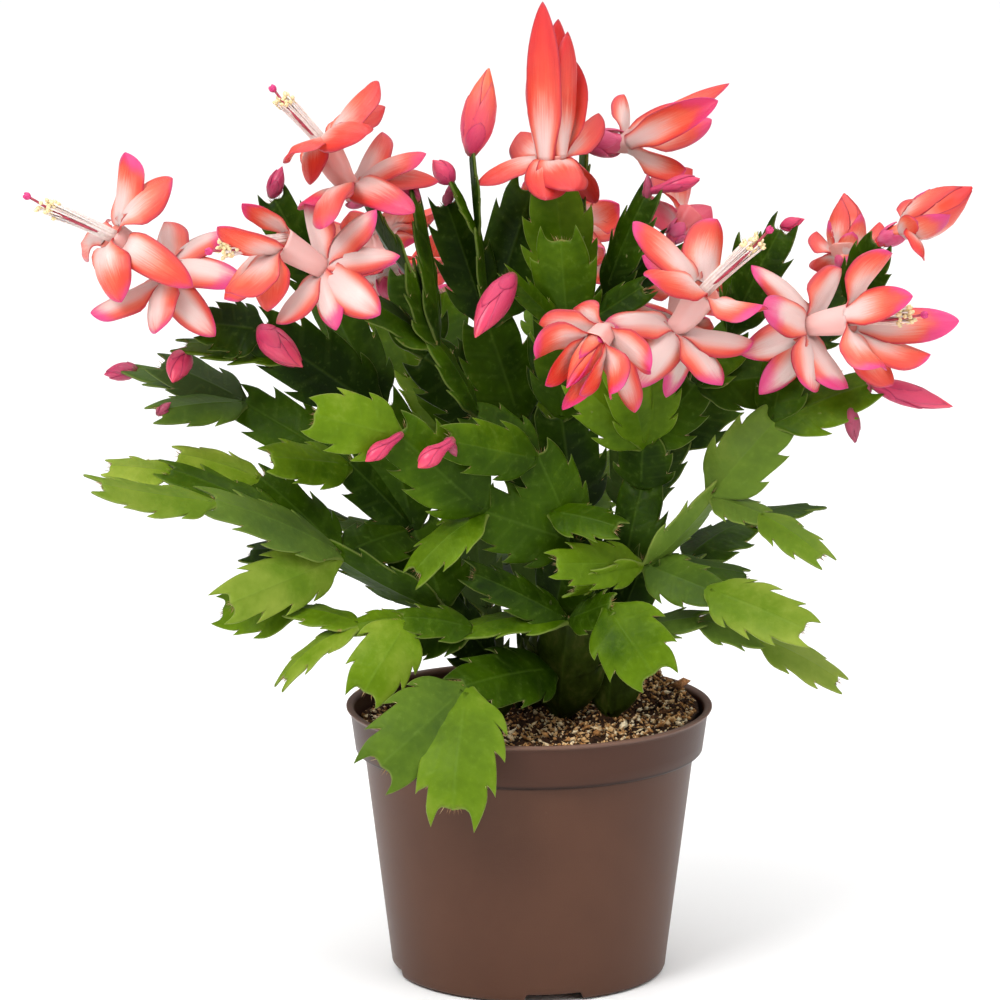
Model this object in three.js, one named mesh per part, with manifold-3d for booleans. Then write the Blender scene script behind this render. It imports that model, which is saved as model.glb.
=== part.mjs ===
import * as THREE from "three";
import Module from "manifold-3d";

const wasm = await Module();
wasm.setup();

// Pot, in millimetres
const POT_HEIGHT = 88;
const RIM_RADIUS = 60;
const BAND_TOP = 58.2;
const BAND_FOOT = 56.6;
const BAND_HEIGHT = 15;
const BODY_TOP = 53.7;
const BODY_FOOT = 44.8;
const WALL = 1.3;
const NOTCHES = 4;
const NOTCH_TURN = 10.7;
const NOTCH_HEIGHT = 2.4;
const NOTCH_WIDTH = 18.5;
const POT_SIDES = 30;

// Soil and roots
const SOIL_GAP = 0.35;
const SOIL_LEVEL = 83.4;
const ROOT_FOOT = 58;
const ROOT_RADIUS = 5;

// Segments, petals and buds
const RIB = 2.4;
const SUNK = 2.6;
const PETAL_LENGTH = 25.5;
const PETAL_WIDTH = 14.5;
const SEAT_GAP = 0.45;

// The eye that the front elevation is read from, in millimetres
const EYE = { across: -9.5, away: 1600, up: 470 };

// A point of the front elevation: across, up, and forward of the pot's axis
function sheet(a, b, c) {
  const t = c / EYE.away;
  return new THREE.Vector3(a + (EYE.across - a) * t, -c, b + (EYE.up - b) * t);
}

function add(p, d, k) {
  return p.clone().addScaledVector(d, k);
}

function frac(x) {
  return x - Math.floor(x);
}

// A fixed uneven number from 0 to 1 for each seed
function uneven(seed) {
  return frac(Math.sin(seed * 12.9898 + 4.1414) * 43758.5453);
}

function body(points, faces) {
  const mesh = new wasm.Mesh({
    numProp: 3,
    vertProperties: Float32Array.from(points.flatMap((p) => [p.x, p.y, p.z])),
    triVerts: Uint32Array.from(faces.flat()),
  });
  return new wasm.Manifold(mesh);
}

function bodyOf(geometry) {
  const flat = geometry.index ? geometry.toNonIndexed() : geometry;
  const at = flat.getAttribute("position");
  const seen = new Map();
  const points = [];
  const order = [];
  for (let i = 0; i < at.count; i += 1) {
    const p = new THREE.Vector3().fromBufferAttribute(at, i);
    const key = [p.x, p.y, p.z].map((v) => Math.round(v * 1e4)).join(" ");
    if (!seen.has(key)) {
      seen.set(key, points.length);
      points.push(p);
    }
    order.push(seen.get(key));
  }
  const faces = [];
  for (let i = 0; i < order.length; i += 3) {
    const [a, b, c] = [order[i], order[i + 1], order[i + 2]];
    if (a !== b && b !== c && c !== a) {
      faces.push([a, b, c]);
    }
  }
  return body(points, faces);
}

// Rings of equal count, closed at both ends; a last ring of one point is a tip
function lofted(rings) {
  const points = rings.flat();
  const faces = [];
  const n = rings[0].length;
  let start = 0;
  for (let k = 0; k < rings.length - 1; k += 1) {
    const next = start + n;
    for (let i = 0; i < n; i += 1) {
      const j = (i + 1) % n;
      if (rings[k + 1].length === 1) {
        faces.push([start + i, start + j, next]);
      } else {
        faces.push([start + i, start + j, next + j]);
        faces.push([start + i, next + j, next + i]);
      }
    }
    start = next;
  }
  for (let i = 1; i < n - 1; i += 1) {
    faces.push([0, i + 1, i]);
  }
  if (rings.at(-1).length > 1) {
    for (let i = 1; i < n - 1; i += 1) {
      faces.push([start, start + i, start + i + 1]);
    }
  }
  return body(points, faces);
}

function ring(centre, u, v, radius, sides, turn = 0) {
  const points = [];
  for (let i = 0; i < sides; i += 1) {
    const t = turn + (i * 2 * Math.PI) / sides;
    points.push(add(add(centre, u, radius * Math.cos(t)), v, radius * Math.sin(t)));
  }
  return points;
}

// Two directions square to d, so that u, v and d are right handed
function across(d) {
  const hint = Math.abs(d.z) < 0.9 ? new THREE.Vector3(0, 0, 1) : new THREE.Vector3(0, -1, 0);
  const u = hint.clone().cross(d).normalize();
  const v = d.clone().cross(u);
  return [u, v];
}

function fuse(list) {
  return list.reduce((whole, next) => whole.add(next));
}

// Half of a segment's outline, from its base to the horn beside its end:
// share of the length, share of the half width
const TWO_TEETH = [
  [0, 0],
  [0.14, 0.62],
  [0.41, 0.97],
  [0.45, 0.78],
  [0.73, 1],
  [0.78, 0.74],
  [1.06, 0.6],
];
const ONE_TOOTH = [
  [0, 0],
  [0.17, 0.66],
  [0.6, 1],
  [0.66, 0.76],
  [1.06, 0.6],
];
const TWO_RIBS = { at: [0.3, 0.67], reach: [0.42, 0.8] };
const ONE_RIB = { at: [0.5], reach: [0.75] };
const AREOLE = 0.985;

// The lie of a segment: d along it, n out of its flat face, side across it
function lie(from, tip, turn, ref) {
  const d = tip.clone().sub(from);
  const length = d.length();
  d.normalize();
  const face = add(ref, d, -ref.dot(d)).normalize();
  const up = face.clone().cross(d);
  if (up.z < -0.1) {
    up.negate();
  }
  const t = (turn * Math.PI) / 180;
  const n = add(face.multiplyScalar(Math.cos(t)), up, Math.sin(t));
  const side = d.clone().cross(n);
  return { from, tip, length, d, n, side };
}

// A thin arched blade, thick along its rib and fine at its toothed edges
function segment(at, width, bow, thick, seed, teeth, ribs) {
  const half = width / 2;
  const cup = (0.03 + 0.05 * uneven(seed + 0.3)) * width;
  const spot = ([u, h], lift) => {
    const arch = bow * 4 * u * (1 - u) - cup * h * h;
    const along = add(at.from, at.d, u * at.length);
    return add(add(along, at.side, h * half), at.n, arch + lift);
  };
  const last = teeth.length - 1;
  const edge = (sign) => teeth.slice(1).map(([u, h], i) => {
    const free = i > 0 && i < last - 1 ? 0.07 * (uneven(seed + sign * 0.11 + (i >> 1)) - 0.5) : 0;
    return spot([u + free, sign * h], 0);
  });
  const spine = [0, ...ribs.at, AREOLE];
  const lifts = spine.map((u) => (u === 0 ? thick * 0.42 : u === AREOLE ? 0.9 : thick / 2));
  const points = [
    ...edge(1),
    ...edge(-1),
    ...spine.map((u, i) => spot([u, 0], lifts[i])),
    ...spine.map((u, i) => spot([u, 0], -lifts[i])),
  ];
  const top = 2 * last;
  const under = top + spine.length;
  const faces = [];
  for (const [first, side] of [[0, 1], [last, -1]]) {
    for (const [rib, face] of [[top, 1], [under, -1]]) {
      const put = (a, b, c) => faces.push(side * face > 0 ? [a, b, c] : [a, c, b]);
      put(rib, first, rib + 1);
      let k = 1;
      for (let i = 0; i < last - 1; i += 1) {
        while (k < spine.length - 1 && teeth[i + 2][0] > ribs.reach[k - 1]) {
          put(rib + k, first + i, rib + k + 1);
          k += 1;
        }
        put(rib + k, first + i, first + i + 1);
      }
      while (k < spine.length - 1) {
        put(rib + k, first + last - 1, rib + k + 1);
        k += 1;
      }
    }
    const close = (a, b, c) => faces.push(side > 0 ? [a, b, c] : [a, c, b]);
    close(top, under, first);
    close(first + last - 1, under + spine.length - 1, top + spine.length - 1);
  }
  return body(points, faces);
}

// Where each stem stands in the soil, seen from above
const ROOTS = {
  stem_front: [10, -9],
  stem_mid: [-3, 4],
  stem_left: [-10, -9],
  stem_centre: [12, 10],
  stem_right: [26, -14],
  stem_back_left: [-13, 18],
  stem_back: [4, 32],
  stem_back_right: [29, 12],
};

// Segments of each stem as they show from the front: name, what it grows from,
// its tip across, up and forward, its width, how far it is turned from facing
// the front, how far it arches, and its thickness where it is old
const STEMS = {
  stem_front: [
    ["f0", "root", 13, 117, 32, 25, 12, 0, 8],
    ["f1", "f0", -20, 112, 38, 16, 74, 2, 3],
    ["f2", "f1", -42, 116, 42, 14, 52, 1],
    ["f3", "f2", -57, 113, 42, 12, 55, 1],
    ["f4", "f3", -77, 119, 34, 15, 74, 1],
    ["f5", "f4", -100, 119, 24, 18, 36, 1],
    ["f6", "f3", -80, 95.5, 48, 13, 70, 3],
    ["f7", "f2", -54, 91, 54, 21, 8, 3],
    ["f8", "f1", -39, 107, 30, 14, 50, 1],
    ["f9", "f0", -19, 131, 40, 14, 42, 1],
    ["f10", "f0", 27, 121, 44, 14, 55, 0],
    ["f11", "f10", 41, 97, 56, 25, 6, 3],
    ["f12", [9, 99, 19], -22, 93, 56, 22, 48, 2],
    ["f13", "f12", -49, 66, 74, 27, 12, 4],
    ["f14", "f12", -25, 51, 79, 28, 4, 5],
  ],
  stem_mid: [
    ["m0", "root", 9, 114, 14, 17, 20, 0, 6],
    ["m1", "m0", 15, 144, 26, 20, 25, 1, 4],
    ["m2", "m1", -16, 152, 38, 25, 10, 2],
    ["m3", "m2", -43, 178, 50, 24, 5, 3],
    ["m4", "m2", -37, 131, 45, 18, 55, 2],
    ["m5", "m3", -70, 183.5, 58, 21, 10, 1],
    ["m6", "m1", 2, 171, 33, 22, 20, 1],
    ["m7", "m6", -27, 175, 51, 18, 15, 2],
    ["m8", [6, 151, 30], 29, 146, 42, 14, 50, 1],
    ["m9", "m6", -19, 184, 27, 18, 35, 1],
    ["m10", "m9", -31, 207, 28, 17, 72, 1],
    ["m11", "m10", -38, 231, 28, 17, 73, -1],
    ["m12", "m11", -52, 252, 12, 16, -68, 1],
    ["m13", "m10", -36, 253, 12, 15, 74, 1],
    ["m14", "m10", -58, 223, 34, 17, 68, 1],
  ],
  stem_left: [
    ["l0", "root", -12, 103, 15, 13, 20, 0, 6],
    ["l1", "l0", -29, 121, 20, 20, 40, 0, 5],
    ["l2", "l1", -63, 138, 26, 18, -46, 1, 3],
    ["l3", "l2", -103, 155, 42, 20, 64, 2],
    ["l4", "l3", -139, 160, 58, 18, 70, -1],
    ["l5", "l2", -88, 163, 16, 20, 45, 1],
    ["l6", "l5", -114, 170, 12, 18, 60, 1],
    ["l7", [-77, 146, 31.5], -117, 165, 22, 18, 62, 2],
    ["l8", "l7", -136, 166, 20, 16, 66, 0],
    ["l9", "l2", -91, 138, 14, 16, 64, 1],
    ["l10", "l2", -98, 121, 48, 20, 8, 2],
    ["l11", "l2", -39, 145, 12, 20, 45, 1],
    ["l12", "l1", -38, 147, 8, 26, 20, 1],
    ["l13", "l12", -59, 168, 12, 18, 30, 1],
    ["l14", "l13", -84, 169, 30, 18, 52, 0],
    ["l15", "l13", -93, 188, -4, 20, 15, 1],
    ["l16", "l15", -119, 200, -8, 18, 48, 1],
    ["l17", "l15", -127, 198, -20, 16, 74, 1],
    ["l18", "l15", -120, 184, 12, 16, 60, 1],
    ["l19", "l12", -48, 187, 6, 25, 12, 1],
    ["l20", "l19", -87, 212, 16, 24, 8, 1],
    ["l21", [-73, 202, 12], -111, 206, 10, 16, 72, 1],
    ["l22", "l20", -105, 213, 15, 20, 35, 0],
    ["l23", "l19", -65, 221, -10, 20, 20, 1],
    ["l24", "l23", -82, 254, -12, 17, 10, 1],
  ],
  stem_centre: [
    ["c0", "root", 16, 116, -6, 20, 15, 0, 6],
    ["c1", "c0", 14, 150, -4, 26, 15, 1, 4],
    ["c2", "c1", 10, 184, 0, 26, 10, 1, 3],
    ["c3", "c2", 13, 211, 8, 22, 10, 1],
    ["c4", "c3", 10, 241, 12, 22, 5, 1],
    ["c5", "c2", 12, 226, -10, 24, 10, 1],
    ["c6", "c5", 8, 257, -6, 24, 10, 0],
    ["c7", "c2", 25, 222, -4, 18, 40, 1],
    ["c8", "c7", 38, 255, -2, 16, 48, 1],
    ["c9", "c3", 37, 225, 14, 14, 40, 0],
    ["c10", "c3", -7, 229, 20, 8, 20, 0],
    ["c11", "c1", -4, 182, -10, 26, 15, 1],
    ["c12", "c11", -14, 214, -12, 25, 12, 1],
    ["c13", "c12", -27, 253, -12, 18, 10, 1],
    ["c14", "c12", -16.5, 243, -4, 10, 78, 0, 2],
    ["c15", "c14", -18.5, 268, -6, 9, 80, 0, 2],
    ["c16", "c14", -25, 259, -4, 7, 80, 0, 2],
    ["c17", "c5", 17, 270, -27, 16, 82, -1],
    ["c18", "c7", 45, 240, -12, 16, 40, 0],
    ["c19", "c11", -35, 203, -16, 25, 8, 1],
    ["c20", "c19", -40, 230, -26, 20, 15, 1],
    ["c21", "c12", 1, 257, -24, 24, 10, 1],
  ],
  stem_right: [
    ["r0", "root", 28, 112, 20, 20, 15, 0, 6],
    ["r1", "r0", 38, 136, 26, 16, 25, 0, 4],
    ["r2", "r0", 37, 161, 12, 22, 25, 1, 4],
    ["r3", "r2", 37, 175, 15, 20, 20, 0, 3],
    ["r4", "r3", 54, 194, 10, 20, 15, 1],
    ["r5", "r3", 15, 195, 22, 18, 15, 1],
    ["r6", "r3", 40, 208, 22, 20, 5, 1],
    ["r7", "r3", 27, 209, 40, 16, 25, 1],
    ["r8", "r1", 60, 158, 26, 14, -46, 1],
    ["r9", "r8", 80, 182, 22, 22, 20, 1],
    ["r10", "r9", 110, 193, 22, 20, 45, 1],
    ["r11", "r8", 76, 150, 32, 14, 60, 0],
    ["r12", "r11", 95, 136, 44, 15, 55, 1],
    ["r13", "r1", 71, 130, 12, 16, 68, 1],
    ["r14", "r1", 59, 125, 38, 18, 40, 0],
    ["r15", "r14", 90, 112, 54, 20, 40, 1],
    ["r16", "r0", 56, 116, 28, 14, 64, 1],
    ["r17", "r16", 76, 109, 28, 14, 62, 0],
    ["r18", "r17", 101, 95, 30, 16, 58, 1],
    ["r19", "r4", 95, 197, 4, 20, 36, 1],
    ["r20", "r4", 66, 211, 2, 18, 30, 0],
    ["r21", "r20", 70, 240, -4, 18, 46, 0],
    ["r22", "r20", 81, 244, 6, 18, 36, 1],
    ["r23", "r4", 86, 206, -8, 18, 42, 1],
    ["r24", "r23", 104, 221, -10, 18, 45, 0],
    ["r25", "r24", 112, 239, -2, 18, 36, 0],
    ["r26", "r23", 101, 230, -18, 16, 62, 0],
    ["r27", "r9", 84, 207, 16, 18, 30, 0],
    ["r28", "r1", 8, 134, 40, 16, 28, 1],
    ["r29", "r1", 14, 126, 36, 14, -50, 0],
  ],
};

// Shoots at the back, by rule: name, what it grows from, compass turn and rise in
// degrees, and how many segments long; each one after the first leans further out
const SHOOTS = {
  stem_back_left: [
    ["a0", "root", 125, 86, 5],
    ["a1", "a00", 150, 32, 3],
    ["a2", "a01", 172, 50, 3],
    ["a3", "a02", 96, 58, 2],
  ],
  stem_back: [
    ["b0", "root", 88, 84, 5],
    ["b1", "b00", 66, 36, 3],
    ["b2", "b01", 118, 44, 3],
    ["b3", "b00", 104, 8, 2],
  ],
  stem_back_right: [
    ["d0", "root", 60, 86, 4],
    ["d1", "d00", 40, 28, 3],
    ["d2", "d01", 28, 50, 3],
  ],
};

// Blooms: name, the segment each sits on, the two whorls' places and the stigma's,
// then the petal tips of each whorl: across, up, and how far forward or back they lean
const BLOOMS = [
  ["bloom_far_left", "l22", [-117, 229, 22], [-136, 243, 28], [-161, 254.5, 34],
    [[-97, 243, -1.5], [-117, 246, -0.8], [-141, 216.5, 2], [-120, 210, 1], [-101, 209, 4], [-91, 227, 1]],
    [[-129, 268.5, -1], [-114, 260, 1.5], [-108, 225, 5], [-131, 220, 1.2], [-143, 239, -1]]],
  ["bloom_left", "m14", [-67, 231, 44], [-82, 241, 52], [-103, 236.5, 64],
    [[-41.5, 235, 2], [-49, 250, -1], [-48, 216, 2.5], [-62, 211, 1], [-81, 213, 1], [-72, 253, -0.8]],
    [[-101, 243, -1.2], [-92, 252, 0.2], [-96, 223, 1.4], [-98, 221, -1.8], [-84, 217, 1]]],
  ["bloom_upper_left", "m12", [-57, 257, 14], [-68, 274, 14], [-82, 289, 16],
    [[-47, 275, -1], [-33, 268, 0.8], [-29, 259, -1], [-37, 249, 2], [-72, 252, 1.5], [-66, 244, 3]],
    [[-48, 291, 0.8], [-46, 283, -1], [-52, 274, 1.4], [-76, 268, 1.2], [-70, 258, 0.6]]],
  ["bloom_centre", "c6", [7, 266, -5], [7, 274, -5], null,
    [[-17, 258, 0.8], [5, 253, 0.9], [14, 256, 1], [21, 252, -0.5], [-3, 275, -1], [22, 281, -1]],
    [[4, 316.5, 2.6], [12, 307, 1.6], [9, 311, -2.5], [1, 301, 0.6], [14, 298, -1.4]]],
  ["bloom_centre_right", "c17", [31, 271.5, -29], [38, 275, -29], null,
    [[50, 263, 0.8], [30, 287, -0.8], [51, 284, 0.8]],
    [[63.5, 290.5, 1], [58, 279, -1], [60, 285, 4]]],
  ["bloom_right", "r6", [47, 212, 32], [58, 226, 38], [77, 243.7, 46],
    [[24, 213, 1], [34, 192, 1], [44, 189, -0.5], [72, 207, 1], [62, 193, 1]],
    [[33, 246, 0.5], [36, 235, -1], [38, 228, 2], [60, 247, -1], [75, 219, 1]]],
  ["bloom_front", "r7", [24, 210, 52], [17, 202, 63], null,
    [[3, 213, -0.4], [8, 223, -0.5], [39, 198, 1], [34, 184, 1]],
    [[11, 185, 1], [2, 202, 0.5], [16, 190, 1.1], [26, 190, 0.9], [5, 193, 0.9]]],
  ["bloom_far_right", "r27", [90, 212, 24], [106, 215, 32], [127, 216, 40],
    [[71, 232, -0.5], [75, 219, 1], [68, 203, 0.6], [74, 190, 1], [91, 191, 1], [102, 192, 1.3],
      [100, 231, -1]],
    [[138, 214, 1], [126, 222, -1], [113, 199, 1], [117, 193, 0.3], [129, 203, 0.8], [116, 236, 0.3]]],
  ["bloom_behind_right", "r26", [101, 236, -22], [101, 240, -24], null,
    [[84, 227, -1], [112, 246, -1], [88, 246, -1]],
    [[100.5, 258, 0.7], [93, 254, -1], [108, 254, -1]]],
  ["bloom_half_open", "r25", [121, 244, 0], [125, 247, 0], null,
    [[127, 232, 1], [128, 258, -1]],
    [[143.5, 257, 0.8], [142, 255, -1], [139, 260, 1.5]]],
  ["bloom_behind_centre", "c18", [50, 246, -16], [53, 249, -19], null,
    [[37, 253, -1], [58, 251, -1]],
    [[44, 262, -1], [52, 263, -1.4]]],
];

// Blooms at the back, by rule: name and the segment each sits on
const BACK_BLOOMS = [
  ["bloom_back_left", "a04"],
  ["bloom_back", "b04"],
  ["bloom_back_right", "d03"],
  ["bloom_back_low", "b22"],
];

// Buds: name, the segment each sits on, its tip across, up and forward, its width, and
// for one that hangs back along its segment how far off its face the bud starts
const BUDS = [
  ["bud_right", "r10", 136.5, 186, 20, 7.5],
  ["bud_left", "l20", -73, 199, 34, 9.5, 2.2],
  ["bud_middle", "c10", -17.5, 208.5, 36, 9.5, 2.4],
  ["bud_upright", "c15", -13, 295.5, -6, 11],
  ["bud_left_low", "l21", -115, 194, 21, 8, -2.4],
  ["bud_far_left", "l17", -137, 196.5, -24, 6],
  ["bud_upper_left", "l24", -79, 264, -12, 5.5],
  ["bud_upper_small", "m13", -42, 260, 12, 4.5],
  ["bud_upper_middle", "c16", -31, 266, -4, 7],
  ["bud_upper_right", "c8", 54.5, 260, -2, 5.5],
  ["bud_right_small", "r22", 88, 247, 8, 4.4],
  ["bud_mid_small", "m3", -53, 168, 58, 5.4, 2.9],
  ["bud_mid", "m7", -36, 166, 58, 6.6, 2.4],
];

const FRONT = new THREE.Vector3(0, -1, 0);
const RISE = new THREE.Vector3(0, 0, 1);

function soilTop(x, y) {
  const lean = 0.038 * x + 0.014 * y;
  const lumps = 0.7 * Math.sin(0.19 * x + 0.6) * Math.cos(0.23 * y - 0.4);
  return SOIL_LEVEL + 0.9 + lean + lumps + 0.4 * Math.sin(0.41 * x - 0.33 * y);
}

// The round rooted end that stands in the soil, and where the first segment starts on it
function rootOf([x, y]) {
  const top = soilTop(x, y) + 4;
  const [u, v] = [new THREE.Vector3(1, 0, 0), new THREE.Vector3(0, 1, 0)];
  const foot = ring(new THREE.Vector3(x, y, ROOT_FOOT), u, v, ROOT_RADIUS, 6);
  const neck = ring(new THREE.Vector3(x, y, top), u, v, ROOT_RADIUS * 0.75, 6);
  return { peg: lofted([foot, neck]), start: new THREE.Vector3(x, y, top - 3.5) };
}

// Grown segments by name, for what sits on them
const grown = new Map();
const stems = {};

function grow(stem, key, at, width, bow, thick, seed, broad) {
  grown.set(key, at);
  const [teeth, ribs] = broad ? [TWO_TEETH, TWO_RIBS] : [ONE_TOOTH, ONE_RIB];
  stems[stem].push(segment(at, width, bow, thick, seed, teeth, ribs));
}

function startOf(from, root) {
  if (from === "root") {
    return root;
  }
  if (Array.isArray(from)) {
    return sheet(...from);
  }
  const parent = grown.get(from);
  return add(parent.tip, parent.d, -SUNK);
}

let count = 0;
for (const [stem, rows] of Object.entries(STEMS)) {
  const { peg, start } = rootOf(ROOTS[stem]);
  stems[stem] = [peg];
  for (const [key, from, a, b, c, width, turn, bow, thick = RIB] of rows) {
    count += 1;
    const at = lie(startOf(from, start), sheet(a, b, c), turn, FRONT);
    grow(stem, key, at, width, bow, thick, count, Math.abs(turn) < 35 && thick < 4);
  }
}

for (const [stem, shoots] of Object.entries(SHOOTS)) {
  const { peg, start } = rootOf(ROOTS[stem]);
  stems[stem] = [peg];
  for (const [shoot, from, compass, rise, many] of shoots) {
    for (let i = 0; i < many; i += 1) {
      count += 1;
      const key = shoot + i;
      const begin = i === 0 ? startOf(from, start) : startOf(shoot + (i - 1), start);
      const spin = ((compass + 26 * (uneven(count) - 0.5)) * Math.PI) / 180;
      const climb = ((rise - i * (8 + 5 * uneven(count + 0.5))) * Math.PI) / 180;
      const out = new THREE.Vector3(Math.cos(spin), Math.sin(spin), 0);
      const d = out.clone().multiplyScalar(Math.cos(climb)).addScaledVector(RISE, Math.sin(climb));
      const length = 29 + 5 * uneven(count + 0.7);
      const ref = out.clone().multiplyScalar(0.5).addScaledVector(RISE, 0.87);
      const at = lie(begin, add(begin, d, length), 50 * (uneven(count + 0.2) - 0.5), ref);
      const old = from === "root" && i === 0;
      grow(stem, key, at, old ? 15 : 19 + 5 * uneven(count + 0.9), 1.5, old ? 6 : RIB, count, false);
    }
  }
}

// The point just off a segment's end, clear of it for something that leaves along d
function seatOn(key, d, radius, lift = 0) {
  const at = grown.get(key);
  const end = add(at.from, at.d, at.length * AREOLE);
  if (lift !== 0) {
    return add(end, at.n, lift);
  }
  const lean = Math.sqrt(Math.max(0, 1 - at.d.dot(d) ** 2));
  return add(end, at.d, SEAT_GAP + (radius + 0.5) * lean);
}

// One petal: it leaves the tube forward, then curls out to its tip
function petal(root, axis, tip, width) {
  const reach = tip.clone().sub(root);
  const long = reach.length();
  const out = add(reach, axis, -reach.dot(axis));
  const wide = out.length();
  out.normalize();
  const knee = add(add(root, axis, 0.3 * long), out, 0.12 * long + 0.35 * wide);
  const side = axis.clone().cross(out);
  const rings = [];
  for (const [s, share, thick] of [[0, 0.14, 1.4], [0.42, 0.9, 1.6], [0.8, 0.88, 1.4]]) {
    const spine = root.clone().multiplyScalar((1 - s) ** 2);
    spine.addScaledVector(knee, 2 * s * (1 - s)).addScaledVector(tip, s * s);
    const run = knee.clone().sub(root).multiplyScalar(1 - s);
    run.addScaledVector(tip.clone().sub(knee), s).normalize();
    const back = run.clone().cross(side);
    const half = (share * width) / 2;
    rings.push([
      add(add(spine, side, half), back, -0.5 * thick),
      add(spine, back, thick * 0.5),
      add(add(spine, side, -half), back, -0.5 * thick),
    ]);
  }
  rings.push([tip]);
  return lofted(rings);
}

function bloom(seat, rear, mouth, petals) {
  const first = rear.clone().sub(seat);
  const swell = first.length();
  first.normalize();
  const axis = mouth.clone().sub(rear).normalize();
  const [u, v] = across(mouth.clone().sub(seat).normalize());
  const stations = [
    [seat, 1.2],
    [add(seat, first, swell * 0.45), 3.1],
    [rear, 2.6],
    [add(mouth, axis, 1.2), 3.1],
  ];
  const tube = lofted(stations.map(([p, radius]) => ring(p, u, v, radius, 5)));
  return fuse([tube, ...petals.map(({ root, tip, width }) => petal(root, axis, tip, width))]);
}

// A petal tip read from the front, its depth set by the petal's own length
function petalTip(whorl, [a, b, lean]) {
  const flat = Math.hypot(a - whorl[0], b - whorl[1]);
  const deep = Math.sqrt(Math.max(6, PETAL_LENGTH ** 2 - flat ** 2));
  return sheet(a, b, whorl[2] + lean * deep);
}

const parts = [];

function part(name, solid, color, roughness) {
  parts.push({ name, solid, color, roughness });
}

const GREEN = 0x4a7a1e;
const CORAL = 0xf4695a;
const PINK = 0xe0457a;
const CREAM = 0xf2dca0;

// Pot
const turned = new THREE.LatheGeometry([
  [0, 0], [BODY_FOOT - 1.1, 0], [BODY_FOOT, 1.2], [BODY_TOP, POT_HEIGHT - BAND_HEIGHT],
  [BAND_FOOT, POT_HEIGHT - BAND_HEIGHT + 0.5], [BAND_TOP, POT_HEIGHT - 2], 
  [RIM_RADIUS - 0.2, POT_HEIGHT - 1.5], [RIM_RADIUS - 0.2, POT_HEIGHT], [RIM_RADIUS - 1.6, POT_HEIGHT],
  [BAND_TOP - WALL, POT_HEIGHT - 1.8], [BAND_FOOT - WALL, POT_HEIGHT - BAND_HEIGHT + 2],
  [BODY_TOP - WALL, POT_HEIGHT - BAND_HEIGHT + 0.6], [BODY_FOOT - WALL, 4], [33.5, 4], [32, 1.5], [0, 1.5],
].map(([r, z]) => new THREE.Vector2(r, z)), POT_SIDES);
turned.rotateX(Math.PI / 2);
let pot = bodyOf(turned);
for (let i = 0; i < NOTCHES; i += 1) {
  const notch = new THREE.BoxGeometry(NOTCH_WIDTH, 16, NOTCH_HEIGHT * 2);
  notch.translate(0, -45, 0);
  const drain = new THREE.CylinderGeometry(3.2, 3.2, 8, 12);
  drain.rotateX(Math.PI / 2).translate(0, -39, 2);
  const turn = ((NOTCH_TURN + (i * 360) / NOTCHES) * Math.PI) / 180;
  pot = pot.subtract(bodyOf(notch.rotateZ(turn))).subtract(bodyOf(drain.rotateZ(turn)));
}
part("pot", pot, 0x5e4338, 0.45);

// Soil, with a plain hole for each stem
const soilRing = (radius, z) => {
  const points = [];
  for (let i = 0; i < 18; i += 1) {
    const t = (i * Math.PI) / 9;
    const [x, y] = [radius * Math.cos(t), radius * Math.sin(t)];
    points.push(new THREE.Vector3(x, y, z ?? soilTop(x, y)));
  }
  return points;
};
const inside = WALL + SOIL_GAP;
let soil = lofted([
  soilRing(31.4, 1.9),
  soilRing(32.8, 4.4),
  soilRing(BODY_FOOT - inside - 0.1, 4.4),
  soilRing(BODY_TOP - inside - 0.3, POT_HEIGHT - BAND_HEIGHT + 0.8),
  soilRing(BAND_FOOT - inside - 0.3, POT_HEIGHT - BAND_HEIGHT + 3),
  soilRing(BAND_FOOT - inside + 0.8),
  soilRing(41),
  soilRing(22),
  [new THREE.Vector3(0, 0, soilTop(0, 0))],
]);
for (const [x, y] of Object.values(ROOTS)) {
  const [u, v] = [new THREE.Vector3(1, 0, 0), new THREE.Vector3(0, 1, 0)];
  const ends = [ROOT_FOOT - 0.4, POT_HEIGHT + 20];
  const hole = lofted(ends.map((z) => ring(new THREE.Vector3(x, y, z), u, v, ROOT_RADIUS + 0.45, 6)));
  soil = soil.subtract(hole);
}
part("soil", soil, 0x3a2c22, 0.95);

// Leafy stems
for (const [name, pieces] of Object.entries(stems)) {
  part(name, fuse(pieces), GREEN, 0.45);
}

// Blooms, with the stamens and style that stand out of the open ones
for (const [name, key, rear, mouth, stigma, rearTips, frontTips] of BLOOMS) {
  const [low, high] = [sheet(...rear), sheet(...mouth)];
  const first = low.clone().sub(grown.get(key).tip).normalize();
  const seat = seatOn(key, first, 1.2);
  const petals = [
    ...rearTips.map((tip) => ({ root: low, tip: petalTip(rear, tip), width: PETAL_WIDTH - 0.8 })),
    ...frontTips.map((tip) => ({ root: high, tip: petalTip(mouth, tip), width: PETAL_WIDTH })),
  ];
  part(name, bloom(seat, low, high, petals), CORAL, 0.5);
  if (stigma) {
    const axis = high.clone().sub(low).normalize();
    const foot = add(high, axis, 2.2);
    const run = sheet(...stigma).sub(foot);
    const [u, v] = across(run.clone().normalize());
    const bundle = [[0, 0.35], [0.4, 1.1], [0.62, 2.2], [0.74, 0.7], [0.94, 0.6], [0.97, 1.3], [1, 0.7]];
    const rings = bundle.map(([s, radius]) => ring(add(foot, run, s), u, v, radius, 4));
    part(name.replace("bloom", "stamens"), lofted(rings), CREAM, 0.6);
  }
}

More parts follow.
